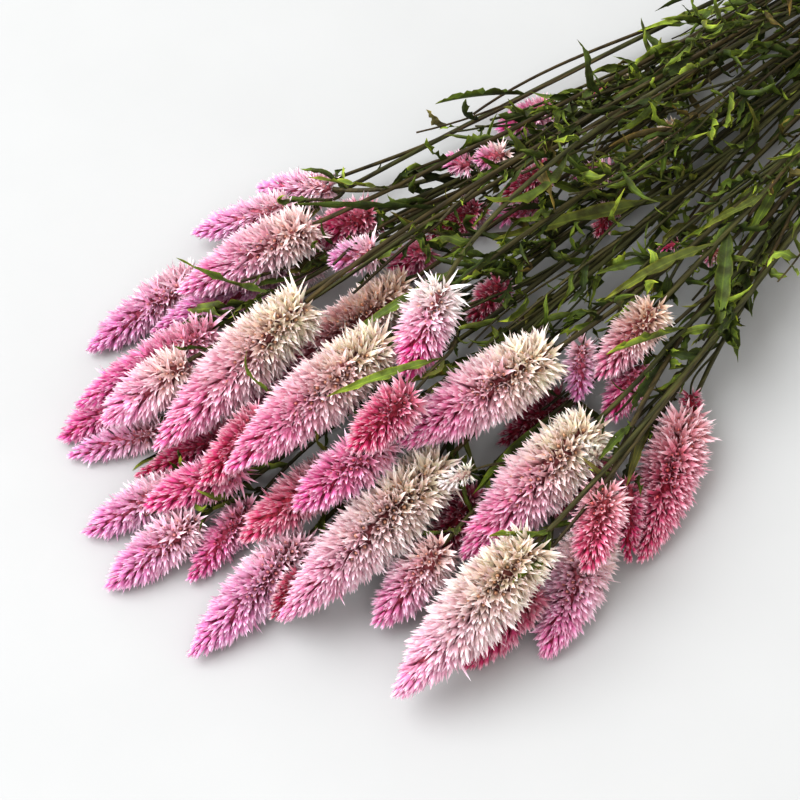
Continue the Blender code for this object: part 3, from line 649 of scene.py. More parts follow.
# Large leaves. The narrow leaves dried on the stems: they curl, twist and roll up along their midrib, dull
# green with lime edges and brown patches, and the edges are lightened further as painted highlight. Each
# stands where the solid model has it.
LEAF_ROWS = 4
LEAVES_PER_STEM = 2
LEAF_LENGTH = (0.026, 0.056)
LEAF_WIDTH = (0.0036, 0.0070)
LEAVES_BETWEEN = (12, 115)
LEAF_TRIES = 14
LEAF_OPENING = (12.0, 38.0)
LEAF_CURL = (-75.0, 60.0)
LEAF_TWIST = (-80.0, 80.0)
LONG_LEAF_TWIST = 25.0
LEAF_ROLL = (0.3, 1.3)
LEAF_WAVES = (16.0, 30.0)
FINE_ROWS = 20
LEAF_MATCH = 0.0009
TIP_MATCH = 0.0020
LEAF_BOX_MARGIN = 0.0015

# A row gives the fan angle and reach of the leaf's root, then of its tip, the height of the tip and the
# width of the blade.
LONG_LEAVES = (
    (-5.6, 290, 0.7, 366, 38, 7.5),
    (10.2, 173, 14.4, 226, 12, 4.5),
    (-4.9, 427, -2.0, 472, 60, 4.5),
    (-0.4, 406, 0.7, 453, 46, 4.0),
    (9.0, 282, 9.8, 330, 14, 4.0),
    (-12.0, 400, -12.4, 423, 38, 3.6),
    (-13.7, 394, -13.8, 419, 24, 3.4),
    (-10.3, 316, -7.3, 363, 38, 5.5),
    (-11.9, 310, -13.9, 349, 30, 7.0),
    (-8.1, 325, -5.7, 354, 40, 4.6),
    (-10.6, 262, -11.8, 301, 30, 5.0),
    (-8.5, 466, -9.7, 482, 48, 5.0),
)


def fan_point(fan, reach, height):
    """A point given by its angle and distance from the tie, and its height."""
    angle = math.radians(fan)
    return Vector((-math.cos(angle) * reach * MM, math.sin(angle) * reach * MM, height * MM))


def long_leaf_root(row, heads):
    """The highest stem point near the place where a long leaf starts, and that stem's bundle."""
    spot = fan_point(row[0], row[1], 0.0)
    best = None
    for head in heads:
        away = np.hypot(head.path[3:-3, 0] - spot.x, head.path[3:-3, 1] - spot.y)
        score = away * 2.0 - head.path[3:-3, 2]
        place = int(np.argmin(score))
        if best is None or score[place] < best[0]:
            best = (score[place], head.bundle, Vector(head.path[3 + place]))
    return best[1:]


def half_width(t, width):
    return 0.5 * width * max(0.1, math.sin(math.pi * (0.05 + 0.93 * t ** 0.85))) ** 0.8


def curled_line(root, along, up, length, curl, twist, rows):
    """The middle line of a leaf that bends away from its stem, and the way across it at each point."""
    place = root.copy()
    heading = along.normalized()
    normal = (up - heading * up.dot(heading)).normalized()
    across = heading.cross(normal)
    centres = []
    sides = []
    for row in range(rows + 1):
        lean = Matrix.Rotation(math.radians(twist) * row / rows, 3, heading)
        centres.append(place.copy())
        sides.append(lean @ across)
        heading = Matrix.Rotation(math.radians(curl) / rows, 3, across) @ heading
        place = place + heading * length / rows
    return centres, sides


def arched_line(root, tip, rise, rows):
    """The middle line of a long leaf that arches over what lies below it."""
    crest = 0.5 * (root + tip) + Vector((0.0, 0.0, rise))
    centres = []
    sides = []
    for row in range(rows + 1):
        t = row / rows
        centres.append(root * (1 - t) ** 2 + crest * 2 * t * (1 - t) + tip * t * t)
        run = (crest - root) * (1 - t) + (tip - crest) * t
        side = run.cross(Vector((0.0, 0.0, 1.0))).normalized()
        turn = math.radians(LONG_LEAF_TWIST * (1.0 - 2.0 * t))
        sides.append(Matrix.Rotation(turn, 3, run.normalized()) @ side)
    return centres, sides


def stands_there(centres, sides, width, known):
    """Whether the solid model has a blade with this line and width."""
    reach = half_width(0.75, width)
    spots = (centres[3] + sides[3] * reach, centres[3] - sides[3] * reach, centres[4])
    for spot, farthest in zip(spots, (LEAF_MATCH, LEAF_MATCH, TIP_MATCH)):
        if known.find(spot + Vector(tie_place))[2] > farthest:
            return False
    return True


def leaf_blade(shape, centres, sides, width, roll, wave, random):
    """A rolled blade with waved edges and a sunk midrib. One that leaves the model's box is left out."""
    centres = np.array([point[:] for point in centres]) + tie_place
    sides = np.array([side[:] for side in sides])
    rows = len(centres)
    normals = unit(np.cross(sides, np.gradient(centres, axis=0)))
    t = np.linspace(0.0, 1.0, rows)
    halves = np.array([half_width(step, width) for step in t])
    halves[-1] *= 0.2
    across = np.array([-1.0, -0.55, 0.0, 0.55, 1.0])
    edges = np.sign(across)[None, :]
    pitch = random.uniform(*LEAF_WAVES)
    flutter = wave * np.sin(t[:, None] * pitch + random.uniform(0.0, 6.28) + 1.7 * edges)
    flutter = flutter + 0.5 * wave * np.sin(t[:, None] * pitch * 2.3 + 2.9 * edges)
    lift = roll * np.abs(across)[None, :] ** 1.6 * (0.6 + 0.6 * t[:, None])
    lift = lift + flutter * (across ** 2)[None, :]
    spread = across[None, :] * np.cos(np.minimum(1.2, np.abs(lift)))
    points = centres[:, None, :] + sides[:, None, :] * (spread * halves[:, None])[:, :, None]
    points = points + normals[:, None, :] * (lift * halves[:, None])[:, :, None]
    points = points.reshape(-1, 3)
    low = points.min(axis=0) - cad_low
    high = cad_high - points.max(axis=0)
    if min(low[0], low[1], high[0], high[1], high[2]) < -LEAF_BOX_MARGIN:
        return
    points[:, 2] = np.maximum(points[:, 2], 0.0003)
    faces = []
    for row in range(rows - 1):
        for step in range(4):
            a = row * 5 + step
            faces.append((a, a + 1, a + 6, a + 5))
    growth = np.zeros((rows, 5, 3))
    growth[:, :, 0] = t[:, None]
    growth[:, :, 1] = random.random()
    growth[:, :, 2] = np.abs(across)[None, :]
    shape.add(points, faces, growth.reshape(-1, 3))


leaf_green, tree, shader, along, tone = grown_material("dried_leaf", 0.60, 0.28)
shader.inputs["Subsurface Weight"].default_value = 0.10
shader.inputs["Subsurface Radius"].default_value = (0.4, 0.6, 0.1)
shader.inputs["Subsurface Scale"].default_value = 0.002
green = ramp_node(tree, tone, [(0.0, (0.036, 0.056, 0.010, 1.0)), (0.3, (0.078, 0.116, 0.017, 1.0)),
                               (0.5, (0.20, 0.27, 0.045, 1.0)), (0.7, (0.024, 0.037, 0.007, 1.0)),
                               (0.86, (0.10, 0.145, 0.022, 1.0)), (1.0, (0.100, 0.072, 0.024, 1.0))])
tips = ramp_node(tree, along, [(0.0, (0.60, 0.60, 0.60, 1.0)), (0.5, (1.0, 1.0, 1.0, 1.0)),
                               (0.85, (1.45, 1.4, 1.1, 1.0)), (1.0, (2.0, 1.75, 1.2, 1.0))])
width_map = tree.nodes.new("ShaderNodeUVMap")
width_map.uv_map = "breadth"
breadth = tree.nodes.new("ShaderNodeSeparateXYZ")
tree.links.new(width_map.outputs["UV"], breadth.inputs["Vector"])
# Painted highlight: the edges of each blade are lightened towards lime as if catching the light, beyond their
# own lime colour. The paler midrib is the leaf's own colour.
edge = ramp_node(tree, breadth.outputs["X"], [(0.0, (1.5, 1.45, 1.2, 1.0)), (0.14, (0.85, 0.88, 0.85, 1.0)),
                                              (0.7, (1.0, 1.0, 1.0, 1.0)), (1.0, (1.85, 1.65, 1.05, 1.0))])
patches = noise_node(tree, 160.0, 4.0)
mottle = ramp_node(tree, patches, [(0.36, (0.5, 0.42, 0.38, 1.0)), (0.55, (1.0, 1.0, 1.0, 1.0)),
                                   (0.75, (1.35, 1.3, 1.1, 1.0))])
leaf_colour = mix_node(tree, "MULTIPLY", 1.0, mix_node(tree, "MULTIPLY", 1.0, green, tips), mottle)
tree.links.new(mix_node(tree, "MULTIPLY", 1.0, leaf_colour, edge), shader.inputs["Base Color"])
tree.links.new(bump_node(tree, noise_node(tree, 1100.0, 4.0), 0.55, 0.0005), shader.inputs["Normal"])

cad_low = np.array(cad_box[0])
cad_high = np.array(cad_box[1])
known_points = []
for number in range(BUNDLES):
    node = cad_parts["stem_bundle_%d" % (number + 1)]
    known = KDTree(len(node.data.vertices))
    for vert in node.data.vertices:
        known.insert(vert.co, vert.index)
    known.balance()
    known_points.append(known)
leaf_shapes = [Shape() for _ in range(BUNDLES)]
leaf_draws = np.random.default_rng(SEED + 2)
roots = [long_leaf_root(row, heads) for row in LONG_LEAVES]
for number in range(BUNDLES):
    known = known_points[number]
    for row, (bundle, root) in zip(LONG_LEAVES, roots):
        if bundle != number:
            continue
        for lift in range(LEAF_TRIES):
            tip = fan_point(row[2], row[3], row[4] + 1.5 * lift)
            rise = 0.002 + 0.0022 * lift
            if stands_there(*arched_line(root, tip, rise, LEAF_ROWS), row[5] * MM, known):
                centres, sides = arched_line(root, tip, rise, FINE_ROWS)
                leaf_blade(leaf_shapes[number], centres, sides, row[5] * MM, 0.55, 0.25, leaf_draws)
                break
    for head in stems:
        if head.bundle != number:
            continue
        for _ in range(LEAVES_PER_STEM):
            spot = int(layout_draws.integers(*LEAVES_BETWEEN))
            root = Vector(head.path[spot])
            forward = Vector(head.path[spot - 1] - head.path[spot + 1]).normalized()
            length = layout_draws.uniform(*LEAF_LENGTH)
            width = layout_draws.uniform(*LEAF_WIDTH)
            side = forward.cross(Vector((0.0, 0.0, 1.0))).normalized()
            for attempt in range(LEAF_TRIES):
                shrink = 1.0 - 0.035 * attempt
                out = Matrix.Rotation(layout_draws.uniform(0.0, 2.0 * math.pi), 3, forward) @ side
                opening = math.radians(layout_draws.uniform(*LEAF_OPENING))
                run = forward * math.cos(opening) + out * math.sin(opening)
                curl = layout_draws.uniform(*LEAF_CURL)
                twist = layout_draws.uniform(*LEAF_TWIST)
                solid_line = curled_line(root, run, out, length * shrink, curl, twist, LEAF_ROWS)
                if stands_there(*solid_line, width * shrink, known):
                    centres, sides = curled_line(root, run, out, length * shrink, curl, twist, FINE_ROWS)
                    roll = leaf_draws.uniform(*LEAF_ROLL)
                    leaf_blade(leaf_shapes[number], centres, sides, width * shrink, roll, 0.35, leaf_draws)
                    break

# Small leaves. Dry, brittle leaves and shreds of leaf, crumpled as they dried, crowd the stems, the shoots
# and the twigs behind the spikes. One edge of the bunch is nearly bare, and few leaves lie on a spike.
CRUMPLED_OPENING = (3.0, 36.0)
CRUMPLED_CURL = (-60.0, 140.0)
CRUMPLED_TWIST = (-220.0, 220.0)
CRUMPLED_WINDING = 0.6
CRUMPLED_ROLL = (0.2, 1.3)
CROWD_FORWARD = 1.25
MOST_OVER_SPIKE = 0.15
OFF_SPIKES = 0.9
BARE_EDGE_SHARE = 0.85
LAST_ON_STEM = 120
LOWER_LAST = 44
FOOT_LEAVES = 5
FOOT_LEAF_LENGTH = (0.012, 0.032)
FOOT_LEAF_WIDTH = (0.0022, 0.0046)
FOOT_LEAF_ROWS = 11

# A row gives the kind of leaf, how many there are, their least and most length and width, and in how many
# rows of faces each is made. The lower ones stand near the front end of what carries them.
SMALL_LEAVES = (
    ("curled", 580, (0.013, 0.040), (0.0021, 0.0054), 12),
    ("lower", 340, (0.010, 0.028), (0.0022, 0.0052), 8),
    ("shred", 620, (0.005, 0.015), (0.0009, 0.0024), 6),
)


def crumpled_line(root, forward, length, random, rows):
    """The middle line of a small dry leaf, which winds as it goes and is twisted most at its tip."""
    side = forward.cross(Vector((0.0, 0.0, 1.0))).normalized()
    out = Matrix.Rotation(random.normal(-0.5 * math.pi, 1.1), 3, forward) @ side
    opening = math.radians(random.uniform(*CRUMPLED_OPENING))
    heading = forward * math.cos(opening) + out * math.sin(opening)
    across = heading.cross(out).normalized()
    curl = math.radians(random.uniform(*CRUMPLED_CURL)) / rows
    twist = math.radians(random.uniform(*CRUMPLED_TWIST)) / rows
    winding = random.uniform(0.0, CRUMPLED_WINDING)
    phase = random.uniform(0.0, 6.28)
    place = root.copy()
    centres = []
    sides = []
    for row in range(rows + 1):
        centres.append(place.copy())
        sides.append(across.copy())
        normal = across.cross(heading)
        sway = winding * math.sin(phase + 6.0 * row / rows)
        heading = Matrix.Rotation(curl * (0.4 + 1.2 * row / rows), 3, across) @ heading
        heading = Matrix.Rotation(sway / rows * 6.0, 3, normal) @ heading
        across = Matrix.Rotation(twist * (0.3 + 1.4 * row / rows), 3, heading) @ across
        across = (across - heading * across.dot(heading)).normalized()
        place = place + heading * length / rows
    return centres, sides


def share_over_spikes(centres):
    """The largest share of a blade's line that lies on top of one flower spike."""
    line = np.array([point[:] for point in centres])[:, None, :]
    feet = np.array([head.foot for head in heads])[None, :, :]
    runs = np.array([head.tip - head.foot for head in heads])[None, :, :]
    along = np.clip(((line - feet) * runs).sum(axis=2) / (runs * runs).sum(axis=2), 0.0, 1.0)
    apart = line - (feet + runs * along[:, :, None])
    room = np.array([head.radius for head in heads])[None, :]
    over = np.hypot(apart[:, :, 0], apart[:, :, 1]) < room
    over = over & (apart[:, :, 2] > -0.3 * room) & (along > 0.03)
    return float(over.mean(axis=0).max())


edge_bundle = max(stems, key=lambda head: head.foot[1] / abs(head.foot[0])).bundle
carriers = [(head.bundle, head.path, LAST_ON_STEM) for head in stems]
carriers += [(head.bundle, head.path, SHOOT_POINTS - 3) for head in heads if not head.on_stem]
carriers += [(bundle, line[::-1], TWIG_POINTS - 6) for bundle, line in twigs]
for kind, count, lengths, widths, rows in SMALL_LEAVES:
    for _ in range(count):
        bundle, path, last = carriers[int(leaf_draws.integers(len(carriers)))]
        last = min(last, LOWER_LAST) if kind == "lower" else last
        spot = 2 + int((last - 2) * leaf_draws.random() ** CROWD_FORWARD)
        forward = Vector(path[spot - 1] - path[spot + 1]).normalized()
        length = leaf_draws.uniform(*lengths)
        width = leaf_draws.uniform(*widths)
        centres, sides = crumpled_line(Vector(path[spot]), forward, length, leaf_draws, rows)
        if bundle == edge_bundle and leaf_draws.random() < BARE_EDGE_SHARE:
            continue
        on_spike = share_over_spikes(centres) > MOST_OVER_SPIKE
        if on_spike and (kind == "lower" or leaf_draws.random() < OFF_SPIKES):
            continue
        roll = leaf_draws.uniform(*CRUMPLED_ROLL)
        leaf_blade(leaf_shapes[bundle], centres, sides, width, roll, 0.6, leaf_draws)
for head in heads:
    for _ in range(FOOT_LEAVES):
        forward = Vector(head.path[1] - head.path[5]).normalized()
        length = leaf_draws.uniform(*FOOT_LEAF_LENGTH)
        width = leaf_draws.uniform(*FOOT_LEAF_WIDTH)
        centres, sides = crumpled_line(Vector(head.path[4]), forward, length, leaf_draws, FOOT_LEAF_ROWS)
        if share_over_spikes(centres) > MOST_OVER_SPIKE and leaf_draws.random() < OFF_SPIKES:
            continue
        leaf_blade(leaf_shapes[head.bundle], centres, sides, width, 0.9, 0.4, leaf_draws)
for number, shape in enumerate(leaf_shapes):
    piece = shape.piece("leaves_of_bundle_%d" % (number + 1), [leaf_green])
    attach(piece, "root")
    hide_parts("stem_bundle_%d" % (number + 1))

# Flower spikes. Each is a slim axis covered with florets in a spiral, and a floret is a tuft of papery,
# pointed bracts round a small seed knob. The florets lie close to the axis at the tip and stand out at
# the foot, and the colour fades from the tip of the spike down and towards the point of each bract.
CORE_SHARE = 0.43
ROOT_SHARE = 0.41
TIP_CORE = ((0.0, 0.14), (0.2, 1.0))
FLORET_PITCH = 0.0036
SLIM_PITCH = (0.7, 37.5)
GOLDEN = math.pi * (3.0 - math.sqrt(5.0))
BRACTS = 6
BRACT_LENGTH = (0.0036, 0.60)
SHORTEST_BRACT = ((0.0, 0.06, 0.3), (0.28, 0.5, 0.8))
LONGEST_BRACT = 1.12
BRACT_THICKNESS_SHARE = 0.104
BRACT_STEPS = (0.0, 0.28, 0.58, 0.84, 1.0)
BRACT_BREADTH = (0.5, 1.0, 0.82, 0.42, 0.0)
BRACT_BELLY = (0.5, 1.0, 0.95, 0.75, 0.5)
KNOBS_FROM = 0.4
KNOB_PLACE = 0.42
KNOB_SHARE = 0.075
KNOB_POINT = 2.2
KNOB_SIDES = 5
LOWEST_POINT = 0.0002

# Fullness, lean and opening of the florets, in degrees, at these stations from the tip to the foot
SPIKE_STATIONS = (0.0, 0.12, 0.35, 0.65, 0.85, 1.0)
FULLNESS = (0.48, 0.75, 1.03, 1.19, 1.19, 1.12)
FLORET_LEAN = (5.0, 18.0, 42.0, 64.0, 84.0, 108.0)
FLORET_OPENING = (2.5, 5.0, 8.0, 12.0, 18.0, 26.0)

# Each colouring goes from the tip of the spike down to its foot.
COLOURINGS = {
    "cream": ((0.80, 0.11, 0.37), (0.87, 0.27, 0.51), (0.90, 0.58, 0.64), (0.83, 0.71, 0.56)),
    "creamy": ((0.85, 0.24, 0.52), (0.90, 0.52, 0.66), (0.89, 0.70, 0.69), (0.80, 0.67, 0.52)),
    "lilac": ((0.84, 0.22, 0.56), (0.88, 0.36, 0.66), (0.91, 0.52, 0.72), (0.90, 0.62, 0.70)),
    "pale": ((0.83, 0.18, 0.47), (0.88, 0.34, 0.59), (0.91, 0.55, 0.67), (0.90, 0.68, 0.65)),
    "two_tone": ((0.80, 0.05, 0.30), (0.84, 0.12, 0.42), (0.90, 0.50, 0.66), (0.92, 0.84, 0.82)),
    "pink": ((0.81, 0.12, 0.42), (0.85, 0.20, 0.49), (0.87, 0.32, 0.55), (0.88, 0.44, 0.58)),
    "bright": ((0.79, 0.06, 0.29), (0.83, 0.12, 0.37), (0.84, 0.20, 0.43), (0.84, 0.32, 0.48)),
    "red_pink": ((0.70, 0.07, 0.20), (0.76, 0.13, 0.28), (0.78, 0.22, 0.34), (0.78, 0.38, 0.42)),
    "rose": ((0.66, 0.035, 0.16), (0.72, 0.06, 0.22), (0.72, 0.12, 0.28), (0.70, 0.22, 0.32)),
    # Painted shade: this colouring is a deep crimson for the low spikes that lie in the shade of those above
    # them, so the shade is painted into their colour.
    "crimson": ((0.38, 0.010, 0.055), (0.46, 0.022, 0.085), (0.48, 0.045, 0.11), (0.46, 0.08, 0.14)),
    "dusty": ((0.70, 0.13, 0.32), (0.74, 0.28, 0.40), (0.78, 0.46, 0.46), (0.80, 0.60, 0.48)),
    "beige": ((0.74, 0.46, 0.36), (0.76, 0.52, 0.40), (0.74, 0.56, 0.42), (0.62, 0.48, 0.32)),
    "white": ((0.92, 0.86, 0.88), (0.92, 0.86, 0.86), (0.88, 0.82, 0.80), (0.76, 0.72, 0.62)),
}
COLOURING_OF = {
    1: "lilac", 2: "pale", 3: "lilac", 4: "lilac", 5: "lilac", 6: "pink", 7: "pale", 8: "pink", 9: "lilac",
    10: "cream", 11: "dusty", 12: "cream", 13: "rose", 14: "rose", 15: "lilac", 16: "bright", 17: "lilac",
    18: "pink", 19: "lilac", 20: "red_pink", 21: "pink", 22: "rose", 23: "creamy", 24: "crimson",
    25: "pale", 26: "creamy", 27: "rose", 28: "cream", 29: "cream", 30: "two_tone", 31: "crimson",
    32: "rose", 33: "crimson", 34: "pale", 35: "red_pink", 36: "rose", 37: "red_pink", 38: "dusty",
    39: "lilac", 40: "bright", 42: "rose", 43: "lilac", 44: "rose", 45: "crimson", 46: "crimson",
    48: "pink", 49: "pale", 50: "crimson", 51: "pink", 52: "pink", 56: "pink", 58: "dusty", 59: "crimson",
}


def bract_material(name, colours):
    """Papery bracts: darkened at their roots with painted shade, bleached and silky at their points, where
    the pale colour is lightened further as painted highlight.
    """
    tip, middle, low, foot = [(*colour, 1.0) for colour in colours]
    material, tree, shader, along, out = grown_material("bracts_" + name, 0.45, 0.35)
    shader.inputs["Sheen Weight"].default_value = 0.12
    shader.inputs["Sheen Roughness"].default_value = 0.4
    shader.inputs["Subsurface Weight"].default_value = 0.15
    shader.inputs["Subsurface Radius"].default_value = (1.0, 0.6, 0.6)
    shader.inputs["Subsurface Scale"].default_value = 0.002
    down = ramp_node(tree, along, [(0.0, tip), (0.32, middle), (0.58, low), (0.82, foot)])
    # Painted shade: the roots of the bracts, where they crowd round the axis, are darkened as if in shade,
    # and patchy noise darkens them further in the hollows between florets.
    depth = (0.74, 0.68, 0.62, 1.0) if name in ("white", "beige") else (0.62, 0.28, 0.30, 1.0)
    painted_hollow_shade = ramp_node(tree, noise_node(tree, 900.0, 3.0), [(0.4, (0.52, 0.36, 0.38, 1.0)),
                                                             (0.6, (1.0, 1.0, 1.0, 1.0))])
    root = mix_node(tree, "MULTIPLY", 1.0, mix_node(tree, "MULTIPLY", 1.0, down, depth), painted_hollow_shade)
    # The points of the bracts turn near white: this is their own pale colour, lightened further as painted
    # highlight.
    bleach_and_highlight = mix_node(tree, "MIX", 0.68, down, (0.98, 0.90, 0.94, 1.0))
    # This ramp keeps the painted shade to the roots of the bracts.
    lower = ramp_node(tree, out, [(0.03, (0.0, 0.0, 0.0, 1.0)), (0.36, (1.0, 1.0, 1.0, 1.0))])
    upper = ramp_node(tree, out, [(0.56, (0.0, 0.0, 0.0, 1.0)), (0.97, (1.0, 1.0, 1.0, 1.0))])
    colour = mix_node(tree, "MIX", upper, mix_node(tree, "MIX", lower, root, down), bleach_and_highlight)
    patches = noise_node(tree, 260.0, 3.0)
    uneven = ramp_node(tree, patches, [(0.3, (0.82, 0.70, 0.74, 1.0)), (0.5, (1.0, 1.0, 1.0, 1.0)),
                                       (0.72, (1.08, 1.22, 1.18, 1.0))])
    tree.links.new(mix_node(tree, "MULTIPLY", 1.0, colour, uneven), shader.inputs["Base Color"])
    tree.links.new(bump_node(tree, noise_node(tree, 2600.0, 2.0), 0.25, 0.0002), shader.inputs["Normal"])
    return material


def knob_material(name, colours):
    """Seed knobs, a shade browner than the bracts round them."""
    low, foot = [(0.8 * colour[0], 0.66 * colour[1], 0.56 * colour[2], 1.0) for colour in colours[2:]]
    material, tree, shader, along, out = grown_material("seed_knobs_" + name, 0.55, 0.35)
    down = ramp_node(tree, along, [(0.3, low), (1.0, foot)])
    grain = noise_node(tree, 1500.0, 2.0)
    speckle = ramp_node(tree, grain, [(0.35, (0.7, 0.6, 0.5, 1.0)), (0.65, (1.15, 1.1, 1.0, 1.0))])
    tree.links.new(mix_node(tree, "MULTIPLY", 1.0, down, speckle), shader.inputs["Base Color"])
    tree.links.new(bump_node(tree, grain, 0.4, 0.0002), shader.inputs["Normal"])
    return material


def core_skin(foot, tip, radius, sides, rings, across, over):
    """The slim closed core that the florets stand on."""
    points = [tip + (foot - tip) * 0.05]
    for ring in range(1, rings):
        t = 0.05 + 0.95 * ring / rings
        for step in range(sides):
            turn = 2.0 * math.pi * step / sides
            spread = across * math.cos(turn) + over * math.sin(turn)
            points.append(tip + (foot - tip) * t + spread * radius * CORE_SHARE * swell(t))
    points.append(foot)
    faces = []
    last = 1 + (rings - 2) * sides
    for step in range(sides):
        after = (step + 1) % sides
        faces.append((0, 1 + step, 1 + after))
        faces.append((len(points) - 1, last + after, last + step))
        for ring in range(rings - 2):
            a = 1 + ring * sides
            faces.append((a + step, a + sides + step, a + sides + after, a + after))
    points = np.array(points)
    growth = np.zeros((len(points), 2))
    growth[:, 0] = np.clip((points - tip) @ (foot - tip) / ((foot - tip) @ (foot - tip)), 0.0, 1.0)
    return points, faces, growth


def spike(foot, tip, radius, random):
    """All the florets of one spike on their core."""
    length = float(np.linalg.norm(foot - tip))
    forward = (tip - foot) / length
    across = unit(np.cross(forward, (0.0, 0.0, 1.0)))
    over = np.cross(across, forward)
    shape = Shape()
    shape.add(*core_skin(foot, tip, radius, 10, 10, across, over))

    # Stations of the florets, closer together where the spike is thick
    pitch = FLORET_PITCH * min(1.0, SLIM_PITCH[0] + SLIM_PITCH[1] * radius)
    florets = int(2.0 * math.pi * 0.75 * radius * length / (0.87 * pitch ** 2))
    nominal = min(BRACT_LENGTH[0] + BRACT_LENGTH[1] * radius, 1.25 * radius)
    start = min(0.30, 0.48 * nominal / length)
    fine = np.linspace(start, 0.985, 300)
    crowd = np.cumsum([swell(t) + 0.2 for t in fine])
    crowd = (crowd - crowd[0]) / (crowd[-1] - crowd[0])
    t = np.interp((np.arange(florets) + 0.5) / florets, crowd, fine)
    t = np.concatenate([start * np.linspace(0.55, 1.0, 4), t])
    turn = np.arange(len(t)) * GOLDEN + random.normal(0.0, 0.10, len(t))
    radial = np.cos(turn)[:, None] * across + np.sin(turn)[:, None] * over

    # Lean and length that bring the points of the bracts out to the full girth
    lean = np.radians(np.interp(t, SPIKE_STATIONS, FLORET_LEAN) + random.normal(0.0, 3.5, len(t)))
    girth = np.array([radius * swell(step) for step in t])
    core = ROOT_SHARE * girth * np.interp(t, *TIP_CORE)
    size = (np.interp(t, SPIKE_STATIONS, FULLNESS) * girth - core) / np.maximum(0.2, np.sin(lean))
    size = np.clip(size, nominal * np.interp(t, *SHORTEST_BRACT), LONGEST_BRACT * nominal)
    size = size * random.uniform(0.88, 1.10, len(t))
    way_out = np.cos(lean)[:, None] * forward + np.sin(lean)[:, None] * radial
    root = tip + (foot - tip) * t[:, None] + radial * core[:, None]
    cone = np.radians(np.interp(t, SPIKE_STATIONS, FLORET_OPENING))
    cone = cone + np.radians(14.0) * (random.random(len(t)) < 0.15 * t)

    # The bracts of each floret stand round it as a slim tuft that opens at its point
    first = unit(np.cross(way_out, forward + 0.01 * across))
    second = np.cross(way_out, first)
    spin = 2.0 * math.pi * np.arange(BRACTS)[None, :] / BRACTS + random.uniform(0.0, 6.28, (len(t), 1))
    spin = spin + random.normal(0.0, 0.2, spin.shape)
    away = np.cos(spin)[..., None] * first[:, None, :] + np.sin(spin)[..., None] * second[:, None, :]
    reach = size[:, None] * random.uniform(0.84, 1.08, spin.shape)
    splay = np.tan(cone[:, None] * random.uniform(0.5, 1.5, spin.shape))
    thick = BRACT_THICKNESS_SHARE * reach
    width = thick * random.uniform(0.95, 1.25, spin.shape)
    side = np.cross(way_out[:, None, :], away)
    rows = []
    for step, wide, belly in zip(BRACT_STEPS, BRACT_BREADTH, BRACT_BELLY):
        offset = thick * belly + reach * splay * step ** 1.7
        middle = root[:, None, :] + way_out[:, None, :] * (reach * step)[..., None] + away * offset[..., None]
        edge = side * (width * wide)[..., None]
        fold = away * (width * wide * 0.5)[..., None]
        if wide:
            rows += [middle - edge - fold, middle, middle + edge - fold]
        else:
            rows.append(middle)
    points = np.stack(rows, axis=2).reshape(-1, 3)
    points[:, 2] = np.maximum(points[:, 2], LOWEST_POINT)
    corners = len(rows)
    base = np.arange(len(points) // corners) * corners
    faces = []
    for row in range(0, 9, 3):
        for face in ((row, row + 1, row + 4, row + 3), (row + 1, row + 2, row + 5, row + 4)):
            faces.extend(map(tuple, (base[:, None] + np.array(face)[None, :]).tolist()))
    for face in ((9, 10, 12), (10, 11, 12)):
        faces.extend(map(tuple, (base[:, None] + np.array(face)[None, :]).tolist()))
    growth = np.zeros((len(t), BRACTS, corners, 2))
    growth[..., 0] = np.clip(t + random.normal(0.0, 0.03, len(t)), 0.0, 1.0)[:, None, None]
    growth[..., 1] = np.repeat(BRACT_STEPS, (3, 3, 3, 3, 1))[None, None, :]
    shape.add(points, faces, growth.reshape(-1, 2))

    # Seed knobs show where the florets have opened
    for floret in np.nonzero(t > KNOBS_FROM)[0]:
        centre = root[floret] + way_out[floret] * size[floret] * KNOB_PLACE
        grain = size[floret] * KNOB_SHARE * random.uniform(0.8, 1.25)
        knob = [centre - way_out[floret] * grain, centre + way_out[floret] * grain * KNOB_POINT]
        belt = []
        for step in range(KNOB_SIDES):
            turned = 2.0 * math.pi * step / KNOB_SIDES
            spoke = first[floret] * math.cos(turned) + second[floret] * math.sin(turned)
            knob.append(centre + spoke * grain)
            after = 2 + (step + 1) % KNOB_SIDES
            belt += [(0, 2 + step, after), (1, after, 2 + step)]
        knob = np.array(knob)
        knob[:, 2] = np.maximum(knob[:, 2], LOWEST_POINT)
        shape.add(knob, belt, np.tile((t[floret], 0.0), (len(knob), 1)), 1)
    return shape


bract_materials = {name: bract_material(name, colours) for name, colours in COLOURINGS.items()}
knob_materials = {name: knob_material(name, colours) for name, colours in COLOURINGS.items()}
for head in heads:
    number = int(head.name[-2:])
    looks = [bract_materials[COLOURING_OF[number]], knob_materials[COLOURING_OF[number]]]
    spike_draws = np.random.default_rng(100 + number)
    shape = spike(head.foot + tie_place, head.tip + tie_place, head.radius, spike_draws)
    piece = shape.piece("spike_%02d" % number, looks)
    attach(piece, "root")
    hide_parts(head.name)

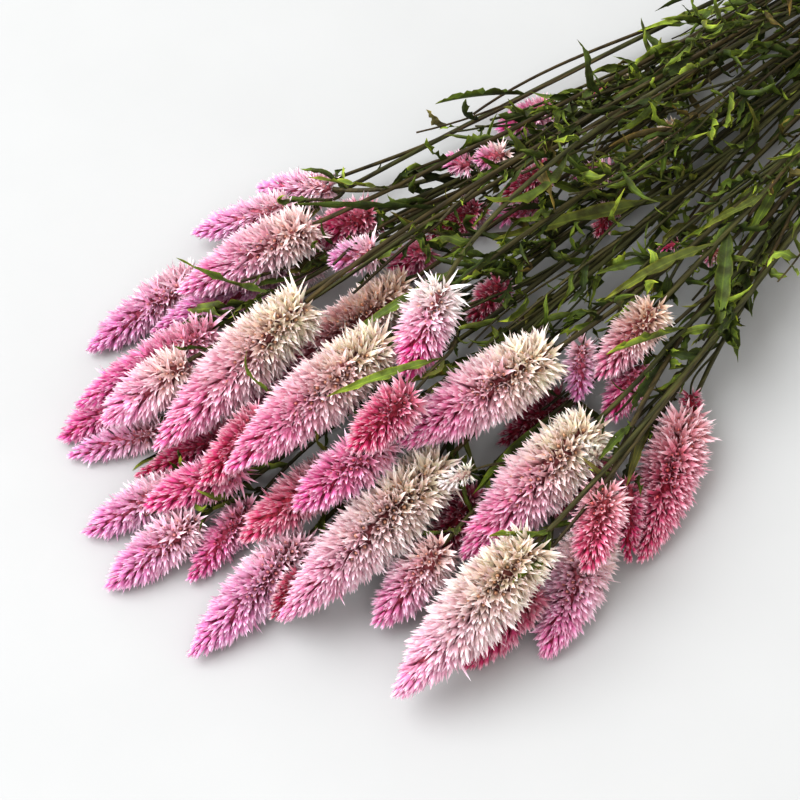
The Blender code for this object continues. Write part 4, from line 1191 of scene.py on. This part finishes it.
# Small buds that never opened, each on a thin twig from the nearest stem. They are too small for the
# solid model. A row gives the fan angle, reach and height of the bud's foot, then of its tip, its girth
# and its colouring.
FORK_BEHIND = 0.03
FORKS_BETWEEN = (10, 130)
SMALL_BUDS = (
    (-13.7, 363, 14, -14.6, 374, 14, 7.5, "crimson"),
    (9.8, 256, 12, 9.7, 267, 12, 6.0, "pink"),
    (9.0, 245, 14, 9.1, 254, 14, 5.0, "beige"),
    (-0.3, 265, 32, -0.2, 280, 31, 6.5, "beige"),
    (-7.9, 314, 31, -7.1, 322, 31, 4.5, "bright"),
    (-3.4, 370, 16, -3.5, 387, 15, 7.5, "rose"),
    (-7.9, 451, 36, -7.2, 461, 34, 6.5, "white"),
    (-12.2, 419, 34, -11.0, 419, 36, 5.5, "white"),
)
for number, row in enumerate(SMALL_BUDS):
    foot = np.array(fan_point(*row[:3]))
    tip = np.array(fan_point(*row[3:6]))
    carrier, spot, away = None, None, 1.0
    for head in stems:
        near = np.linalg.norm(head.path[slice(*FORKS_BETWEEN)] - (foot + (FORK_BEHIND, 0.0, 0.0)), axis=1)
        if near.min() < away:
            carrier, spot, away = head, FORKS_BETWEEN[0] + int(near.argmin()), near.min()
    bud_draws = np.random.default_rng(200 + number)
    shape = spike(foot + tie_place, tip + tie_place, 0.5 * row[6] * MM, bud_draws)
    twig = Shape()
    way_out = unit(carrier.path[spot - 3] - carrier.path[spot + 3])
    add_twig(twig, twig_line(carrier.path[spot], way_out, foot, unit(tip - foot)), tone_draws)
    bud = shape.piece("small_bud_%d" % (number + 1), [bract_materials[row[7]], knob_materials[row[7]]])
    stalk = twig.piece("small_bud_stalk_%d" % (number + 1), [stem_bark])
    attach(bud, "root")
    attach(stalk, "root")

# Tie. A cord of plain plant fibre, twisted from two strands, goes three times round the stems and is
# pressed flat where the bunch lies on it.
CORD_RADIUS = 0.0016
CORD_TURNS = 3
TIE_ROOM = 0.0006
TIE_SQUARENESS = 0.5
TURN_PITCH = 1.7
CORD_TWIST = 0.0055
CORD_STEP = 0.0007
STRAND_OFFSET = 0.42
STRAND_SHARE = 0.58


def cord_path():
    """The middle line of the cord's turns, wound side by side round the flat waist of the bunch."""
    half_wide = 0.5 * waist_width + TIE_ROOM + 0.9 * CORD_RADIUS
    half_high = 0.5 * waist_height + TIE_ROOM + 0.9 * CORD_RADIUS
    middle = WAIST_FLOOR + 0.5 * waist_height
    turns = np.linspace(0.0, 2.0 * math.pi * CORD_TURNS, 1200)
    c = np.sign(np.cos(turns)) * np.abs(np.cos(turns)) ** TIE_SQUARENESS
    s = np.sign(np.sin(turns)) * np.abs(np.sin(turns)) ** TIE_SQUARENESS
    corner = 1.0 / np.maximum(np.abs(c), np.abs(s)) * 0.5 + 0.5
    along = (turns / (2.0 * math.pi) - 0.5 * CORD_TURNS) * CORD_RADIUS * TURN_PITCH
    line = np.stack([along, c * corner * half_wide, middle + s * corner * half_high], axis=1)
    run = np.concatenate([[0.0], np.cumsum(np.linalg.norm(np.diff(line, axis=0), axis=1))])
    even = np.linspace(0.0, run[-1], int(run[-1] / CORD_STEP))
    return np.stack([np.interp(even, run, line[:, axis]) for axis in range(3)], axis=1)


cord_fibre, tree, shader, along, tone = grown_material("plant_fibre_cord", 0.85, 0.2)
fibres = noise_node(tree, 3200.0, 4.0)
straw = ramp_node(tree, fibres, [(0.3, (0.26, 0.17, 0.085, 1.0)), (0.55, (0.47, 0.35, 0.20, 1.0)),
                                 (0.75, (0.62, 0.50, 0.33, 1.0))])
tree.links.new(straw, shader.inputs["Base Color"])
tree.links.new(bump_node(tree, fibres, 0.7, 0.0004), shader.inputs["Normal"])
line = cord_path() + tie_place
sides, overs = frames_along(line)
shape = Shape()
for strand in range(2):
    turned = 2.0 * math.pi * np.arange(len(line)) * CORD_STEP / CORD_TWIST + strand * math.pi
    offset = sides * np.cos(turned)[:, None] + overs * np.sin(turned)[:, None]
    strand_line = line + offset * CORD_RADIUS * STRAND_OFFSET
    strand_radii = np.full(len(line), CORD_RADIUS * STRAND_SHARE)
    skin, faces, growth, caps = ribbed_stem(strand_line, strand_radii, 4, 0.1, 0.5)
    skin[:, 2] = np.maximum(skin[:, 2], 0.0)
    shape.add(skin, faces + caps, growth)
tie = shape.piece("tie_of_cord", [cord_fibre])
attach(tie, "root")
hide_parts("tie_cord")

# The surface that the bunch lies on, a plain board painted white, and round it soft light, most of it from
# a window ahead of the bunch on its far side. The camera looks down on the flower spikes.
SURFACE_SIZE = 6.0
BOARD_WHITE = (0.452, 0.454, 0.456, 1.0)
BOARD_LIGHTER = (0.466, 0.468, 0.470, 1.0)
LIGHT_AIM = (-0.15, 0.0, 0.0)
ROOM_COLOUR = (1.0, 0.975, 0.945, 1.0)
ROOM_STRENGTH = 0.95
VIEW_GAMMA = 0.86
CAMERA_PLACE = (-0.4899, -0.2984, 0.5825)
CAMERA_AIM = (-0.1912, 0.0014, 0.0)
CAMERA_LENS = 85.0

bpy.ops.mesh.primitive_grid_add(x_subdivisions=8, y_subdivisions=8, size=SURFACE_SIZE)
surface = bpy.context.active_object
surface.name = "white_board"
board = bpy.data.materials.new("white_board_paint")
board.use_nodes = True
tree = board.node_tree
shader = tree.nodes["Principled BSDF"]
shader.inputs["Roughness"].default_value = 0.6
shader.inputs["Specular IOR Level"].default_value = 0.2
faint = ramp_node(tree, noise_node(tree, 14.0, 3.0), [(0.3, BOARD_WHITE), (0.7, BOARD_LIGHTER)])
tree.links.new(faint, shader.inputs["Base Color"])
surface.data.materials.append(board)


def soft_light(name, place, size, power, colour):
    lamp = bpy.data.lights.new(name, "AREA")
    lamp.shape = "DISK"
    lamp.size = size
    lamp.energy = power
    lamp.color = colour
    light = bpy.data.objects.new(name, lamp)
    light.location = place
    light.rotation_euler = (Vector(LIGHT_AIM) - Vector(place)).to_track_quat("-Z", "Y").to_euler()
    bpy.context.scene.collection.objects.link(light)


soft_light("window_light", (-1.6, 1.25, 2.4), 3.2, 150.0, (0.955, 0.985, 1.0))
soft_light("room_light", (-1.6, -1.4, 2.0), 2.0, 16.0, (0.97, 0.98, 1.0))
world = bpy.data.worlds.new("white_room")
world.use_nodes = True
world.node_tree.nodes["Background"].inputs["Color"].default_value = ROOM_COLOUR
world.node_tree.nodes["Background"].inputs["Strength"].default_value = ROOM_STRENGTH
bpy.context.scene.world = world
bpy.context.scene.view_settings.view_transform = "Standard"
bpy.context.scene.view_settings.gamma = VIEW_GAMMA

lens = bpy.data.cameras.new("camera")
lens.lens = CAMERA_LENS
lens.sensor_width = 36.0
lens.clip_start = 0.01
camera = bpy.data.objects.new("camera", lens)
camera.location = CAMERA_PLACE
camera.rotation_euler = (Vector(CAMERA_AIM) - Vector(CAMERA_PLACE)).to_track_quat("-Z", "Y").to_euler()
bpy.context.scene.collection.objects.link(camera)
bpy.context.scene.camera = camera
